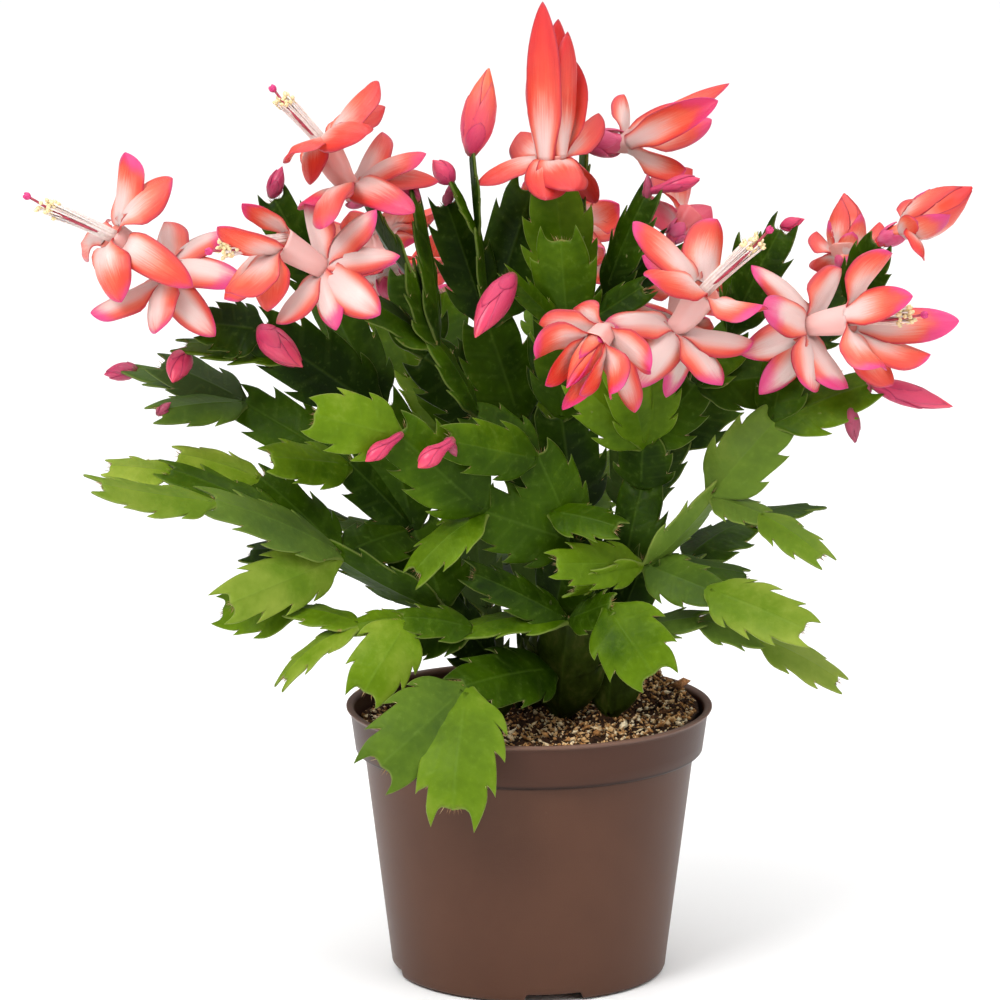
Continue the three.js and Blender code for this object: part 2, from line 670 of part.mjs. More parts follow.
for (const [i, [name, key]] of BACK_BLOOMS.entries()) {
  const at = grown.get(key);
  const axis = at.d.clone().addScaledVector(RISE, 0.25).normalize();
  const seat = seatOn(key, axis, 1.2);
  const low = add(seat, axis, 10);
  const high = add(seat, axis, 26);
  const [u, v] = across(axis);
  const petals = [];
  for (let k = 0; k < 7; k += 1) {
    const rear = k < 3;
    const t = rear ? 0.4 + k * 2.0944 : 1.2 + k * 1.5708;
    const out = u.clone().multiplyScalar(Math.cos(t)).addScaledVector(v, Math.sin(t));
    const reach = 21 + 3 * uneven(i * 20 + k);
    const fall = (rear ? -5 : 1) + 6 * (uneven(i * 20 + k + 0.5) - 0.5);
    const tip = add(add(rear ? low : high, out, reach), axis, fall);
    petals.push({ root: rear ? low : high, tip, width: PETAL_WIDTH - (rear ? 0.8 : 0) });
  }
  part(name, bloom(seat, low, high, petals), CORAL, 0.5);
}

// Buds
for (const [name, key, a, b, c, width, lift] of BUDS) {
  const tip = sheet(a, b, c);
  const first = tip.clone().sub(grown.get(key).tip).normalize();
  const seat = seatOn(key, first, 1, lift);
  const run = tip.clone().sub(seat);
  const [u, v] = across(run.clone().normalize());
  const stations = [[0, 1], [0.2, width * 0.28], [0.52, width / 2], [0.84, width * 0.27]];
  const rings = stations.map(([s, radius]) => ring(add(seat, run, s), u, v, radius, 5));
  part(name, lofted([...rings, [tip]]), PINK, 0.45);
}

const group = new THREE.Group();
group.name = "potted_christmas_cactus";
for (const { name, solid, color, roughness } of parts) {
  const { vertProperties, triVerts } = solid.getMesh();
  const geometry = new THREE.BufferGeometry();
  geometry.setAttribute("position", new THREE.BufferAttribute(vertProperties, 3));
  geometry.setIndex(new THREE.BufferAttribute(triVerts, 1));
  geometry.computeVertexNormals();
  const material = new THREE.MeshStandardMaterial({ color, roughness, metalness: 0 });
  material.name = name;
  const mesh = new THREE.Mesh(geometry, material);
  mesh.name = name;
  group.add(mesh);
}

export default group;
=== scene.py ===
"""A potted christmas cactus in bloom: arching chains of flat toothed pads, blooms with two
whorls of swept petals, buds, peat and a plain nursery pot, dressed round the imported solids."""
import math

import bpy
import numpy as np
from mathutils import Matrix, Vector


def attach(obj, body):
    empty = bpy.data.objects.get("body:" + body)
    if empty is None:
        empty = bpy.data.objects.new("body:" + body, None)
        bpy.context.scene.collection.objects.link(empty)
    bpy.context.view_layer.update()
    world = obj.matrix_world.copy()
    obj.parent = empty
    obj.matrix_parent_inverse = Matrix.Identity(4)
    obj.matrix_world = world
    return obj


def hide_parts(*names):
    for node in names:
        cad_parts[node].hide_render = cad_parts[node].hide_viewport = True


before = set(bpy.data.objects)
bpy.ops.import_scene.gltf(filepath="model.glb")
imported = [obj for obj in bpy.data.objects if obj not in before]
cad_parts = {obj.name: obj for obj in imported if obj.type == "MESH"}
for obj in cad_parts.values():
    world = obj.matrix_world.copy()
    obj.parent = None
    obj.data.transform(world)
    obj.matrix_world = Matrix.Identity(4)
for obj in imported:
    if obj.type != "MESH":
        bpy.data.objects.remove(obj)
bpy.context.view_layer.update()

MM = 0.001

# Pot, soil, pads, petals and buds, in millimetres, as the solids have them
POT_HEIGHT = 88
BAND_TOP = 58.2
BAND_FOOT = 56.6
BAND_HEIGHT = 15
BODY_TOP = 53.7
BODY_FOOT = 44.8
WALL = 1.3
NOTCHES = 4
NOTCH_TURN = 10.7
NOTCH_HEIGHT = 2.4
NOTCH_WIDTH = 18.5
NOTCH_INNER = 37
SOIL_LEVEL = 83.4
ROOT_RADIUS = 5
RIB = 2.4
OLD_RIB = 6
SUNK = 2.6
AREOLE = 0.985
PETAL_LENGTH = 25.5
PETAL_WIDTH = 14.5
SEAT_GAP = 0.45
SHOULDER = POT_HEIGHT - BAND_HEIGHT

# A pad's skin: the core near its neck that the points fan out from, how far out the rings of its
# lower and upper face lie, and where its teeth stand by how many it has
CORE = 0.06
UNDER_SHARES = [0.2, 0.5, 0.76, 0.92, 0.985]
TOP_SHARES = [1, 0.988, 0.96, 0.91, 0.83, 0.71, 0.55, 0.36, 0.16]
TEETH = {1: [0.62], 2: [0.47, 0.78], 3: [0.36, 0.6, 0.84]}
BRISTLE_RADIUS = 0.13

# Petals, tubes, scales and the filaments of a bundle
PETAL_ROWS, PETAL_COLUMNS, PETAL_THICK = 20, 13, 0.5
TUBE_ROWS = 26
SCALE_ROWS, SCALE_COLUMNS = 11, 9
FILAMENTS = 38

# The heap of peat behind the stems and the mound at each root, the height above which the filling
# is its own face, the grains on it and the piece of bark
HEAP_SPOT, HEAP_HEIGHT, HEAP_SPREAD = (28, 23), 7.5, 520
MOUND_HEIGHT, MOUND_SPREAD = 1.6, 24
FACE_FROM = 80
GRAINS, GRAIN_REACH, ROOT_CLEAR = 9000, 54.2, 2.6
BARK_SPOT, BARK_SIZE = (49.5, 12), 3.8

# The eye that the front elevation is read from, in millimetres, and the camera that stands there
EYE = {"across": -9.5, "away": 1600, "up": 470}
CAMERA_LENS = 181.5
CAMERA_DOWN = 11.125

# Lamps: where each stands and the side of its square, in metres, and its power
LAMPS = {
    "key": ((-1.0, -1.3, 1.5), 0.9, 26),
    "fill": ((1.3, -1.2, 0.9), 1.2, 8),
    "ceiling": ((0.0, 0.0, 4.5), 12.0, 590),
}
LAMP_AIM = (0.0, 0.0, 0.16)
ROOM = {"From Min": 0.0, "From Max": 0.8, "To Min": 0.12, "To Max": 0.36}
FLOOR_HEIGHT = -0.0005

# Where each plant is rooted, across and away from the pot's axis
ROOTS = {
    "stem_front": [10, -9],
    "stem_mid": [-3, 4],
    "stem_left": [-10, -9],
    "stem_centre": [12, 10],
    "stem_right": [26, -14],
    "stem_back_left": [-13, 18],
    "stem_back": [4, 32],
    "stem_back_right": [29, 12],
}

# Pads: name, what each grows from, its tip across, up and forward, its width, how far its face is
# turned from the front, how far it bows, and for thick ones the thickness at the rib
STEMS = {
    "stem_front": [
        ["f0", "root", 13, 117, 32, 25, 12, 0, 8], ["f1", "f0", -20, 112, 38, 16, 74, 2, 3],
        ["f2", "f1", -42, 116, 42, 14, 52, 1], ["f3", "f2", -57, 113, 42, 12, 55, 1],
        ["f4", "f3", -77, 119, 34, 15, 74, 1], ["f5", "f4", -100, 119, 24, 18, 36, 1],
        ["f6", "f3", -80, 95.5, 48, 13, 70, 3], ["f7", "f2", -54, 91, 54, 21, 8, 3],
        ["f8", "f1", -39, 107, 30, 14, 50, 1], ["f9", "f0", -19, 131, 40, 14, 42, 1],
        ["f10", "f0", 27, 121, 44, 14, 55, 0], ["f11", "f10", 41, 97, 56, 25, 6, 3],
        ["f12", [9, 99, 19], -22, 93, 56, 22, 48, 2], ["f13", "f12", -49, 66, 74, 27, 12, 4],
        ["f14", "f12", -25, 51, 79, 28, 4, 5],
    ],
    "stem_mid": [
        ["m0", "root", 9, 114, 14, 17, 20, 0, 6], ["m1", "m0", 15, 144, 26, 20, 25, 1, 4],
        ["m2", "m1", -16, 152, 38, 25, 10, 2], ["m3", "m2", -43, 178, 50, 24, 5, 3],
        ["m4", "m2", -37, 131, 45, 18, 55, 2], ["m5", "m3", -70, 183.5, 58, 21, 10, 1],
        ["m6", "m1", 2, 171, 33, 22, 20, 1], ["m7", "m6", -27, 175, 51, 18, 15, 2],
        ["m8", [6, 151, 30], 29, 146, 42, 14, 50, 1], ["m9", "m6", -19, 184, 27, 18, 35, 1],
        ["m10", "m9", -31, 207, 28, 17, 72, 1], ["m11", "m10", -38, 231, 28, 17, 73, -1],
        ["m12", "m11", -52, 252, 12, 16, -68, 1], ["m13", "m10", -36, 253, 12, 15, 74, 1],
        ["m14", "m10", -58, 223, 34, 17, 68, 1],
    ],
    "stem_left": [
        ["l0", "root", -12, 103, 15, 13, 20, 0, 6], ["l1", "l0", -29, 121, 20, 20, 40, 0, 5],
        ["l2", "l1", -63, 138, 26, 18, -46, 1, 3], ["l3", "l2", -103, 155, 42, 20, 64, 2],
        ["l4", "l3", -139, 160, 58, 18, 70, -1], ["l5", "l2", -88, 163, 16, 20, 45, 1],
        ["l6", "l5", -114, 170, 12, 18, 60, 1], ["l7", [-77, 146, 31.5], -117, 165, 22, 18, 62, 2],
        ["l8", "l7", -136, 166, 20, 16, 66, 0], ["l9", "l2", -91, 138, 14, 16, 64, 1],
        ["l10", "l2", -98, 121, 48, 20, 8, 2], ["l11", "l2", -39, 145, 12, 20, 45, 1],
        ["l12", "l1", -38, 147, 8, 26, 20, 1], ["l13", "l12", -59, 168, 12, 18, 30, 1],
        ["l14", "l13", -84, 169, 30, 18, 52, 0], ["l15", "l13", -93, 188, -4, 20, 15, 1],
        ["l16", "l15", -119, 200, -8, 18, 48, 1], ["l17", "l15", -127, 198, -20, 16, 74, 1],
        ["l18", "l15", -120, 184, 12, 16, 60, 1], ["l19", "l12", -48, 187, 6, 25, 12, 1],
        ["l20", "l19", -87, 212, 16, 24, 8, 1], ["l21", [-73, 202, 12], -111, 206, 10, 16, 72, 1],
        ["l22", "l20", -105, 213, 15, 20, 35, 0], ["l23", "l19", -65, 221, -10, 20, 20, 1],
        ["l24", "l23", -82, 254, -12, 17, 10, 1],
    ],
    "stem_centre": [
        ["c0", "root", 16, 116, -6, 20, 15, 0, 6], ["c1", "c0", 14, 150, -4, 26, 15, 1, 4],
        ["c2", "c1", 10, 184, 0, 26, 10, 1, 3], ["c3", "c2", 13, 211, 8, 22, 10, 1],
        ["c4", "c3", 10, 241, 12, 22, 5, 1], ["c5", "c2", 12, 226, -10, 24, 10, 1],
        ["c6", "c5", 8, 257, -6, 24, 10, 0], ["c7", "c2", 25, 222, -4, 18, 40, 1],
        ["c8", "c7", 38, 255, -2, 16, 48, 1], ["c9", "c3", 37, 225, 14, 14, 40, 0],
        ["c10", "c3", -7, 229, 20, 8, 20, 0], ["c11", "c1", -4, 182, -10, 26, 15, 1],
        ["c12", "c11", -14, 214, -12, 25, 12, 1], ["c13", "c12", -27, 253, -12, 18, 10, 1],
        ["c14", "c12", -16.5, 243, -4, 10, 78, 0, 2], ["c15", "c14", -18.5, 268, -6, 9, 80, 0, 2],
        ["c16", "c14", -25, 259, -4, 7, 80, 0, 2], ["c17", "c5", 17, 270, -27, 16, 82, -1],
        ["c18", "c7", 45, 240, -12, 16, 40, 0], ["c19", "c11", -35, 203, -16, 25, 8, 1],
        ["c20", "c19", -40, 230, -26, 20, 15, 1], ["c21", "c12", 1, 257, -24, 24, 10, 1],
    ],
    "stem_right": [
        ["r0", "root", 28, 112, 20, 20, 15, 0, 6], ["r1", "r0", 38, 136, 26, 16, 25, 0, 4],
        ["r2", "r0", 37, 161, 12, 22, 25, 1, 4], ["r3", "r2", 37, 175, 15, 20, 20, 0, 3],
        ["r4", "r3", 54, 194, 10, 20, 15, 1], ["r5", "r3", 15, 195, 22, 18, 15, 1],
        ["r6", "r3", 40, 208, 22, 20, 5, 1], ["r7", "r3", 27, 209, 40, 16, 25, 1],
        ["r8", "r1", 60, 158, 26, 14, -46, 1], ["r9", "r8", 80, 182, 22, 22, 20, 1],
        ["r10", "r9", 110, 193, 22, 20, 45, 1], ["r11", "r8", 76, 150, 32, 14, 60, 0],
        ["r12", "r11", 95, 136, 44, 15, 55, 1], ["r13", "r1", 71, 130, 12, 16, 68, 1],
        ["r14", "r1", 59, 125, 38, 18, 40, 0], ["r15", "r14", 90, 112, 54, 20, 40, 1],
        ["r16", "r0", 56, 116, 28, 14, 64, 1], ["r17", "r16", 76, 109, 28, 14, 62, 0],
        ["r18", "r17", 101, 95, 30, 16, 58, 1], ["r19", "r4", 95, 197, 4, 20, 36, 1],
        ["r20", "r4", 66, 211, 2, 18, 30, 0], ["r21", "r20", 70, 240, -4, 18, 46, 0],
        ["r22", "r20", 81, 244, 6, 18, 36, 1], ["r23", "r4", 86, 206, -8, 18, 42, 1],
        ["r24", "r23", 104, 221, -10, 18, 45, 0], ["r25", "r24", 112, 239, -2, 18, 36, 0],
        ["r26", "r23", 101, 230, -18, 16, 62, 0], ["r27", "r9", 84, 207, 16, 18, 30, 0],
        ["r28", "r1", 8, 134, 40, 16, 28, 1], ["r29", "r1", 14, 126, 36, 14, -50, 0],
    ],
}

# Plain shoots of the back: name, what each grows from, its compass, its rise and how many pads
SHOOTS = {
    "stem_back_left": [
        ["a0", "root", 125, 86, 5],
        ["a1", "a00", 150, 32, 3],
        ["a2", "a01", 172, 50, 3],
        ["a3", "a02", 96, 58, 2],
    ],
    "stem_back": [
        ["b0", "root", 88, 84, 5],
        ["b1", "b00", 66, 36, 3],
        ["b2", "b01", 118, 44, 3],
        ["b3", "b00", 104, 8, 2],
    ],
    "stem_back_right": [
        ["d0", "root", 60, 86, 4],
        ["d1", "d00", 40, 28, 3],
        ["d2", "d01", 28, 50, 3],
    ],
}

# How light each standout pad is painted, 0 dark to 1 light: old pads darker, plus painted sheen and
# shade
AGE_AND_LIGHT_TONES = {
    "f0": 0.05, "f4": 0.6, "f5": 0.6, "f6": 0.75, "f7": 0.7, "f11": 0.54, "f12": 0.3,
    "f13": 0.54, "f14": 0.66,
    "m0": 0.05, "m1": 0.25, "m2": 0.38, "m3": 0.42, "m4": 0.55, "m5": 0.62, "m6": 0.35,
    "m7": 0.45, "m8": 0.4,
    "l0": 0.05, "l1": 0.15, "l2": 0.35, "l3": 0.55, "l4": 0.72, "l5": 0.36, "l6": 0.8,
    "l7": 0.46, "l8": 0.8, "l10": 0.76, "l14": 0.56, "l15": 0.38, "l18": 0.45, "l20": 0.2,
    "l22": 0.25,
    "c0": 0.05, "c1": 0.12, "c2": 0.2, "c4": 0.44, "c6": 0.52,
    "r0": 0.06, "r1": 0.2, "r2": 0.25, "r3": 0.3, "r5": 0.55, "r6": 0.58, "r7": 0.6,
    "r8": 0.66, "r9": 0.64, "r10": 0.5, "r11": 0.6, "r12": 0.72, "r14": 0.46, "r15": 0.78,
    "r17": 0.6, "r18": 0.8, "r27": 0.35, "r28": 0.62, "r29": 0.6,
}

# Pads whose upper face gets a painted grey sheen, by how strong it is
GREY_SHEEN = {
    "f13": 0.55, "f14": 0.2,
    "l3": 1.0, "l4": 0.4, "l10": 0.3, "l16": 0.8, "l17": 0.8, "l18": 0.7,
    "r8": 1.0, "r9": 0.9, "r11": 0.9, "r12": 0.4, "r14": 0.6, "r15": 0.3, "r16": 0.8,
    "r17": 0.9, "r18": 0.6,
}

# Blooms: name, the pad each sits on, its rear whorl, mouth and stigma (across, up, forward), then
# the petals of the rear and of the front whorl: where the tip is seen, how far it leans at the
# viewer, and for a few how wide and how long it is, as shares
BLOOMS = [
    ["bloom_far_left", "l22", [-117, 229, 22], [-136, 243, 28], [-161, 254.5, 34],
     [[-97, 243, -1.5], [-117, 246, -0.8], [-141, 216.5, 2], [-120, 210, 1], [-101, 209, 4],
      [-91, 227, 1]],
     [[-129, 268.5, -1], [-114, 260, 1.5], [-108, 225, 5], [-131, 220, 1.2], [-143, 239, -1]]],
    ["bloom_left", "m14", [-67, 231, 44], [-82, 241, 52], [-103, 236.5, 64],
     [[-41.5, 235, 2], [-49, 250, -1], [-48, 216, 2.5], [-62, 211, 1], [-81, 213, 1],
      [-72, 253, -0.8]],
     [[-100, 244.5, 0.93], [-92, 252, 0.2], [-96, 223, 1.4], [-98, 221, -1.8], [-84, 217, 1]]],
    ["bloom_upper_left", "m12", [-57, 257, 14], [-68, 274, 14], [-82, 289, 16],
     [[-47, 275, -1], [-33, 268, 0.8], [-29, 259, -1], [-37, 249, 2], [-72, 252, 1.5],
      [-66, 244, 3]],
     [[-48, 291, 0.8], [-46, 283, -1], [-52, 274, 1.4], [-76, 268, 1.2], [-70, 258, 0.6]]],
    ["bloom_centre", "c6", [7, 266, -5], [7, 274, -5], None,
     [[-17, 258, 0.8, 0.72, 1], [5, 253, 0.9], [14, 256, 1], [21, 252, -0.5, 0.9, 1],
      [-3, 275, -1], [22, 281, -1, 0.7, 1]],
     [[4, 316.5, 2.6], [12, 307, 1.6], [9, 311, -2.5], [1, 301, 0.6], [14, 298, -1.4]]],
    ["bloom_centre_right", "c17", [31, 271.5, -29], [38, 275, -29], None,
     [[50, 263, 0.8], [30, 287, -0.8], [51, 284, 0.8]],
     [[63.5, 290.5, 1], [58, 279, -1], [60, 285, 4]]],
    ["bloom_right", "r6", [47, 212, 32], [58, 226, 38], [77, 243.7, 46],
     [[24, 213, 1], [34, 192, 1], [44, 189, -0.5], [72, 207, 1], [62, 193, 1]],
     [[33, 246, 0.5], [36, 235, -1], [38, 228, 2], [60, 247, -1], [75, 219, 1]]],
    ["bloom_front", "r7", [24, 210, 52], [17, 202, 63], None,
     [[3, 213, -0.4], [8, 223, -0.5, 1, 0.62], [39, 198, 1], [34, 184, 1]],
     [[11, 185, 0.55], [2, 202, 0.275], [16, 190, 0.605], [26, 190, 0.495], [5, 193, 0.495]]],
    ["bloom_far_right", "r27", [90, 212, 24], [106, 215, 32], [127, 216, 40],
     [[71, 232, -0.5], [75, 219, 1], [68, 203, 0.6], [74, 190, 1], [91, 191, 1], [102, 192, 1.3],
      [100, 231, -1]],
     [[138, 214, 1], [123, 222, 0.9], [113, 199, 1], [117, 193, 0.3], [129, 203, 0.8],
      [116, 236, 0.3]]],
    ["bloom_behind_right", "r26", [101, 236, -22], [101, 240, -24], None,
     [[84, 227, -1, 1, 0.6], [112, 246, -1], [88, 246, -1, 1, 0.7]],
     [[100.5, 258, 0.7], [93, 254, -1], [108, 254, -1]]],
    ["bloom_half_open", "r25", [121, 244, 0], [125, 247, 0], None,
     [[127, 232, 1, 1, 0.8], [128, 258, -1, 1, 0.6]],
     [[143.5, 257, 0.8], [142, 255, -1], [139, 260, 1.5]]],
    ["bloom_behind_centre", "c18", [50, 246, -16], [53, 249, -19], None,
     [[37, 253, -1], [58, 251, -1]],
     [[44, 262, -1], [52, 263, -1.4]]],
]

# The plain bloom: how red it is and how pale its petals start, the half width of its mouth, how far
# behind the mouth its front petals leave the tube, how swollen its neck is and how wide its petals
# are, and the width of the bundle that a bloom still holds closed
PLAIN = {"red": 0.5, "pale": 0.85, "mouth": 5.2, "back": 3.2, "neck": 1.0, "slim": 1.0, "closed": 0}
LOOKS = {
    "bloom_upper_left": {"red": 0.76, "pale": 0.36, "neck": 2.2},
    "bloom_centre": {"red": 0.92, "pale": 0.08, "back": 7.0, "slim": 1.14, "closed": 6.0},
    "bloom_centre_right": {"red": 0.62, "pale": 0.5, "mouth": 4.4, "back": 5.0, "neck": 1.8,
                           "slim": 0.78},
    "bloom_front": {"red": 0.6, "pale": 0.58, "mouth": 4.4, "back": 8.5, "slim": 0.84,
                    "closed": 8.0},
    "bloom_behind_right": {"red": 0.95, "pale": 0.2, "closed": 13.0},
    "bloom_half_open": {"red": 0.9, "pale": 0.3, "closed": 14.5},
    "bloom_behind_centre": {"red": 1.32, "pale": 0.1},
}

# Blooms of the back, by the pad that each sits on
BACK_BLOOMS = {
    "bloom_back_left": "a04",
    "bloom_back": "b04",
    "bloom_back_right": "d03",
    "bloom_back_low": "b22",
}

# How wide the petals of each whorl are, how far out and back they leave the tube, how narrow they
# are on a bloom still rolled up, the seat's radius, and the neck and length of a bloom at the back
REAR_PETAL = PETAL_WIDTH - 1.8
FRONT_PETAL = PETAL_WIDTH - 1.2
NECK_OUT, NECK_BACK, LIP_OUT = 2.4, 1.6, 0.88
ROLLED, BLOOM_SEAT, BACK_NECK, BACK_LENGTH = 0.66, 1.2, 10, 26

# The two whorls of a bloom at the back: how many petals, the turn of the first, how far their tips
# lie along the tube, how far out and back they leave it, their width, seed, red and pale
BACK_WHORLS = (
    (6, 0.4, -5, NECK_OUT, NECK_BACK, REAR_PETAL, 400, 0.5, 0.9),
    (7, 0.9, 1, PLAIN["mouth"] * LIP_OUT, PLAIN["back"], FRONT_PETAL, 408, 0.62, 0.35),
)

# Buds: name, the pad each sits on, the tip across, up and forward, the width, and for a bud on the
# face of its pad how far it sits off it
BUDS = [
    ["bud_right", "r10", 136.5, 186, 20, 7.5],
    ["bud_left", "l20", -73, 199, 34, 9.5, 2.2],
    ["bud_middle", "c10", -17.5, 208.5, 36, 9.5, 2.4],
    ["bud_upright", "c15", -13, 295.5, -6, 11],
    ["bud_left_low", "l21", -115, 194, 21, 8, -2.4],
    ["bud_far_left", "l17", -137, 196.5, -24, 6],
    ["bud_upper_left", "l24", -79, 264, -12, 5.5],
    ["bud_upper_small", "m13", -42, 260, 12, 4.5],
    ["bud_upper_middle", "c16", -31, 266, -4, 7],
    ["bud_upper_right", "c8", 54.5, 260, -2, 5.5],
    ["bud_right_small", "r22", 88, 247, 8, 4.4],
    ["bud_mid_small", "m3", -53, 168, 58, 5.4, 2.9],
    ["bud_mid", "m7", -36, 166, 58, 6.6, 2.4],
]

# Small buds that are redder than the rest, and buds on a thin foot
BUD_RED = {"bud_upper_right": 0.5, "bud_right_small": 0.45, "bud_mid_small": 0.6}
STALKED = ("bud_mid_small", "bud_mid", "bud_upper_right")
STALK = 0.9

# Small late buds: the pad each sits on, its tip across and up, its width, and for a bud on the edge
# of its pad, where it sits along the pad and across it
LATE_BUDS = [
    ["l18", -115.5, 187.5, 3.2],
    ["m7", -23.5, 169.5, 4.2],
    ["c8", 37.5, 261.5, 3.4],
    ["c13", -24.5, 259.5, 3.6],
    ["r10", 106.5, 186.5, 3.6],
    ["r24", 108.5, 226.5, 3.2],
    ["c20", -42.5, 236, 3.4],
    ["r10", 105, 174, 5.0, 0.73, 6.3],
]

FRONT = np.array([0.0, -1.0, 0.0])
RISE = np.array([0.0, 0.0, 1.0])

# The way to the eye, and how far the face of a front petal may turn from it
EYE_WAY = np.array([0.0, -0.97, 0.24])
SHOWN = math.radians(48)


def uneven(seed):
    """A fixed uneven number from 0 to 1 for each seed: the fraction of a large sine"""
    value = np.sin(np.asarray(seed, float) * 12.9898 + 4.1414) * 43758.5453
    return value - np.floor(value)


def sheet(a, b, c):
    """A point of the front elevation: across, up, and forward of the pot's axis, drawn towards
    the eye by the share of the way to it that c is"""
    t = c / EYE["away"]
    return np.array([a + (EYE["across"] - a) * t, -c, b + (EYE["up"] - b) * t])


def unit(v):
    return v / np.linalg.norm(v, axis=-1, keepdims=True)


def smooth(low, high, x):
    """0 below low, 1 above high, and 3t^2 - 2t^3 between"""
    t = np.clip((x - low) / (high - low), 0, 1)
    return t * t * (3 - 2 * t)


def bezier(points, t):
    """Cubic through two ends and two controls: sum of (1-t)^(3-k) t^k times 1, 3, 3, 1"""
    a, b, c, d = np.asarray(points, float)
    t = np.asarray(t)[:, None]
    return (1 - t) ** 3 * a + 3 * (1 - t) ** 2 * t * b + 3 * (1 - t) * t ** 2 * c + t ** 3 * d


def square_to(run):
    """Two directions square to a direction, or to each one along a path, and to each other"""
    hint = RISE if abs(np.atleast_2d(run)[0, 2]) < 0.9 else FRONT
    u = unit(np.cross(hint, run))
    return u, np.cross(run, u)


def wheel(u, v, angle):
    """The way at an angle from u towards v: cos(angle) u + sin(angle) v"""
    angle = np.asarray(angle)[..., None]
    return np.cos(angle) * u + np.sin(angle) * v


def loft(path, radii, columns, flute=0.0, flutes=5, twist=0.0):
    """A round skin along a path: ring i is path[i] + r_i (1 + flute cos(flutes angle + twist i))
    times (cos u + sin v), with u and v square to the path there"""
    path = np.asarray(path, float)
    u, v = square_to(unit(np.gradient(path, axis=0)))
    angle = np.arange(columns) * 2 * np.pi / columns
    lag = twist * np.linspace(0, 1, len(path))[:, None]
    r = np.asarray(radii)[:, None] * (1 + flute * np.cos(flutes * angle + lag))
    return path[:, None] + r[..., None] * wheel(u[:, None], v[:, None], angle)


def through(knots, rows):
    """A smooth path through the knots, cubic between each two with the slopes that they give"""
    knots = np.asarray(knots, float)
    reach = np.concatenate([[0], np.cumsum(np.linalg.norm(np.diff(knots, axis=0), axis=1))])
    slope = np.gradient(knots, reach, axis=0)
    x = np.linspace(0, reach[-1], rows)
    i = np.clip(np.searchsorted(reach, x, side="right") - 1, 0, len(knots) - 2)
    gap = (reach[i + 1] - reach[i])[:, None]
    t = (x - reach[i])[:, None] / gap
    return ((2 * t ** 3 - 3 * t ** 2 + 1) * knots[i] + (t ** 3 - 2 * t ** 2 + t) * gap * slope[i]
            + (3 * t ** 2 - 2 * t ** 3) * knots[i + 1] + (t ** 3 - t ** 2) * gap * slope[i + 1])


def both_faces(face, w):
    """The rings of a thin blade, over its upper face and back under its lower one, and how far
    from its middle each column lies"""
    top, under = np.arange(len(w)), np.arange(len(w) - 2, 0, -1)
    rings = np.concatenate([face(top, 1), face(under, -1)], 1)
    return rings, np.abs(np.concatenate([w[top], w[under]]))[None, :]


class Skin:
    """Points in millimetres, faces, and numbers kept at each point, gathered for one piece"""

    MARKS = ("along", "across", "tone", "side", "seed", "edge")

    def __init__(self):
        self.points, self.faces, self.slots = [], [], []
        self.marks = {name: [] for name in self.MARKS}
        self.count = 0

    def add(self, points, faces, slot=0, **marks):
        points = np.asarray(points, float).reshape(-1, 3)
        self.points.append(points)
        for name in self.MARKS:
            value = np.asarray(marks.get(name, 0.0), float).ravel()
            self.marks[name].append(np.broadcast_to(value, (len(points),)))
        for group in faces:
            self.faces += (group + self.count).tolist()
            self.slots += [slot] * len(group)
        self.count += len(points)

    def rings(self, rings, slot=0, **marks):
        """Rings of equal count, each turning right handed about the way they run, with a point in
        the middle of the first and the last ring to close the ends"""
        rows, columns = rings.shape[:2]
        here = np.arange(columns)
        there = (here + 1) % columns
        start = np.arange(rows - 1)[:, None] * columns
        a, b = (start + here).ravel(), (start + there).ravel()
        end, first, last = (rows - 1) * columns, rows * columns, rows * columns + 1
        quads = np.stack([a, b, b + columns, a + columns], 1)
        caps = np.concatenate([
            np.stack([np.full(columns, first), there, here], 1),
            np.stack([np.full(columns, last), end + here, end + there], 1),
        ])
        points = np.concatenate([rings.reshape(-1, 3), [rings[0].mean(0), rings[-1].mean(0)]])
        full = {}
        for name, value in marks.items():
            value = np.broadcast_to(np.asarray(value, float), (rows, columns))
            full[name] = np.concatenate([value.ravel(), [value[0].mean(), value[-1].mean()]])
        self.add(points, [quads, caps], slot, **full)

    def piece(self, name, materials, node=None):
        """Makes the mesh and sets it on the plant's one body"""
        mesh = bpy.data.meshes.new(name)
        mesh.from_pydata((np.concatenate(self.points) * MM).tolist(), [], self.faces)
        for mark, values in self.marks.items():
            layer = mesh.attributes.new(mark, "FLOAT", "POINT")
            layer.data.foreach_set("value", np.concatenate(values).astype(np.float32))
        mesh.polygons.foreach_set("material_index", np.array(self.slots, np.int32))
        mesh.polygons.foreach_set("use_smooth", np.ones(len(self.faces), bool))
        for material in materials:
            mesh.materials.append(material)
        mesh.update()
        made = set_up(name, mesh)
        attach(made, "root")
        if node:
            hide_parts(node)


def set_up(name, data, spot=(0, 0, 0), turn=(0, 0, 0)):
    """Puts a mesh, a lamp or the camera in the scene"""
    made = bpy.data.objects.new(name, data)
    made.location, made.rotation_euler = spot, turn
    bpy.context.scene.collection.objects.link(made)
    return made


# ---- Where everything grows ----

def soil_top(x, y):
    """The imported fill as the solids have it: it leans a little, with two crossed waves"""
    lean = 0.038 * x + 0.014 * y
    lumps = 0.7 * np.sin(0.19 * x + 0.6) * np.cos(0.23 * y - 0.4)
    return SOIL_LEVEL + 0.9 + lean + lumps + 0.4 * np.sin(0.41 * x - 0.33 * y)


def lie(start, tip, turn, ref):
    """The lie of a pad: d along it, n out of its flat face, side across it"""
    length = np.linalg.norm(tip - start)
    d = (tip - start) / length
    face = unit(ref - d * np.dot(ref, d))
    up = np.cross(face, d)
    if up[2] < -0.1:
        up = -up
    t = math.radians(turn)
    n = face * math.cos(t) + up * math.sin(t)
    return {"start": start, "tip": tip, "length": length, "d": d, "n": n, "side": np.cross(d, n)}


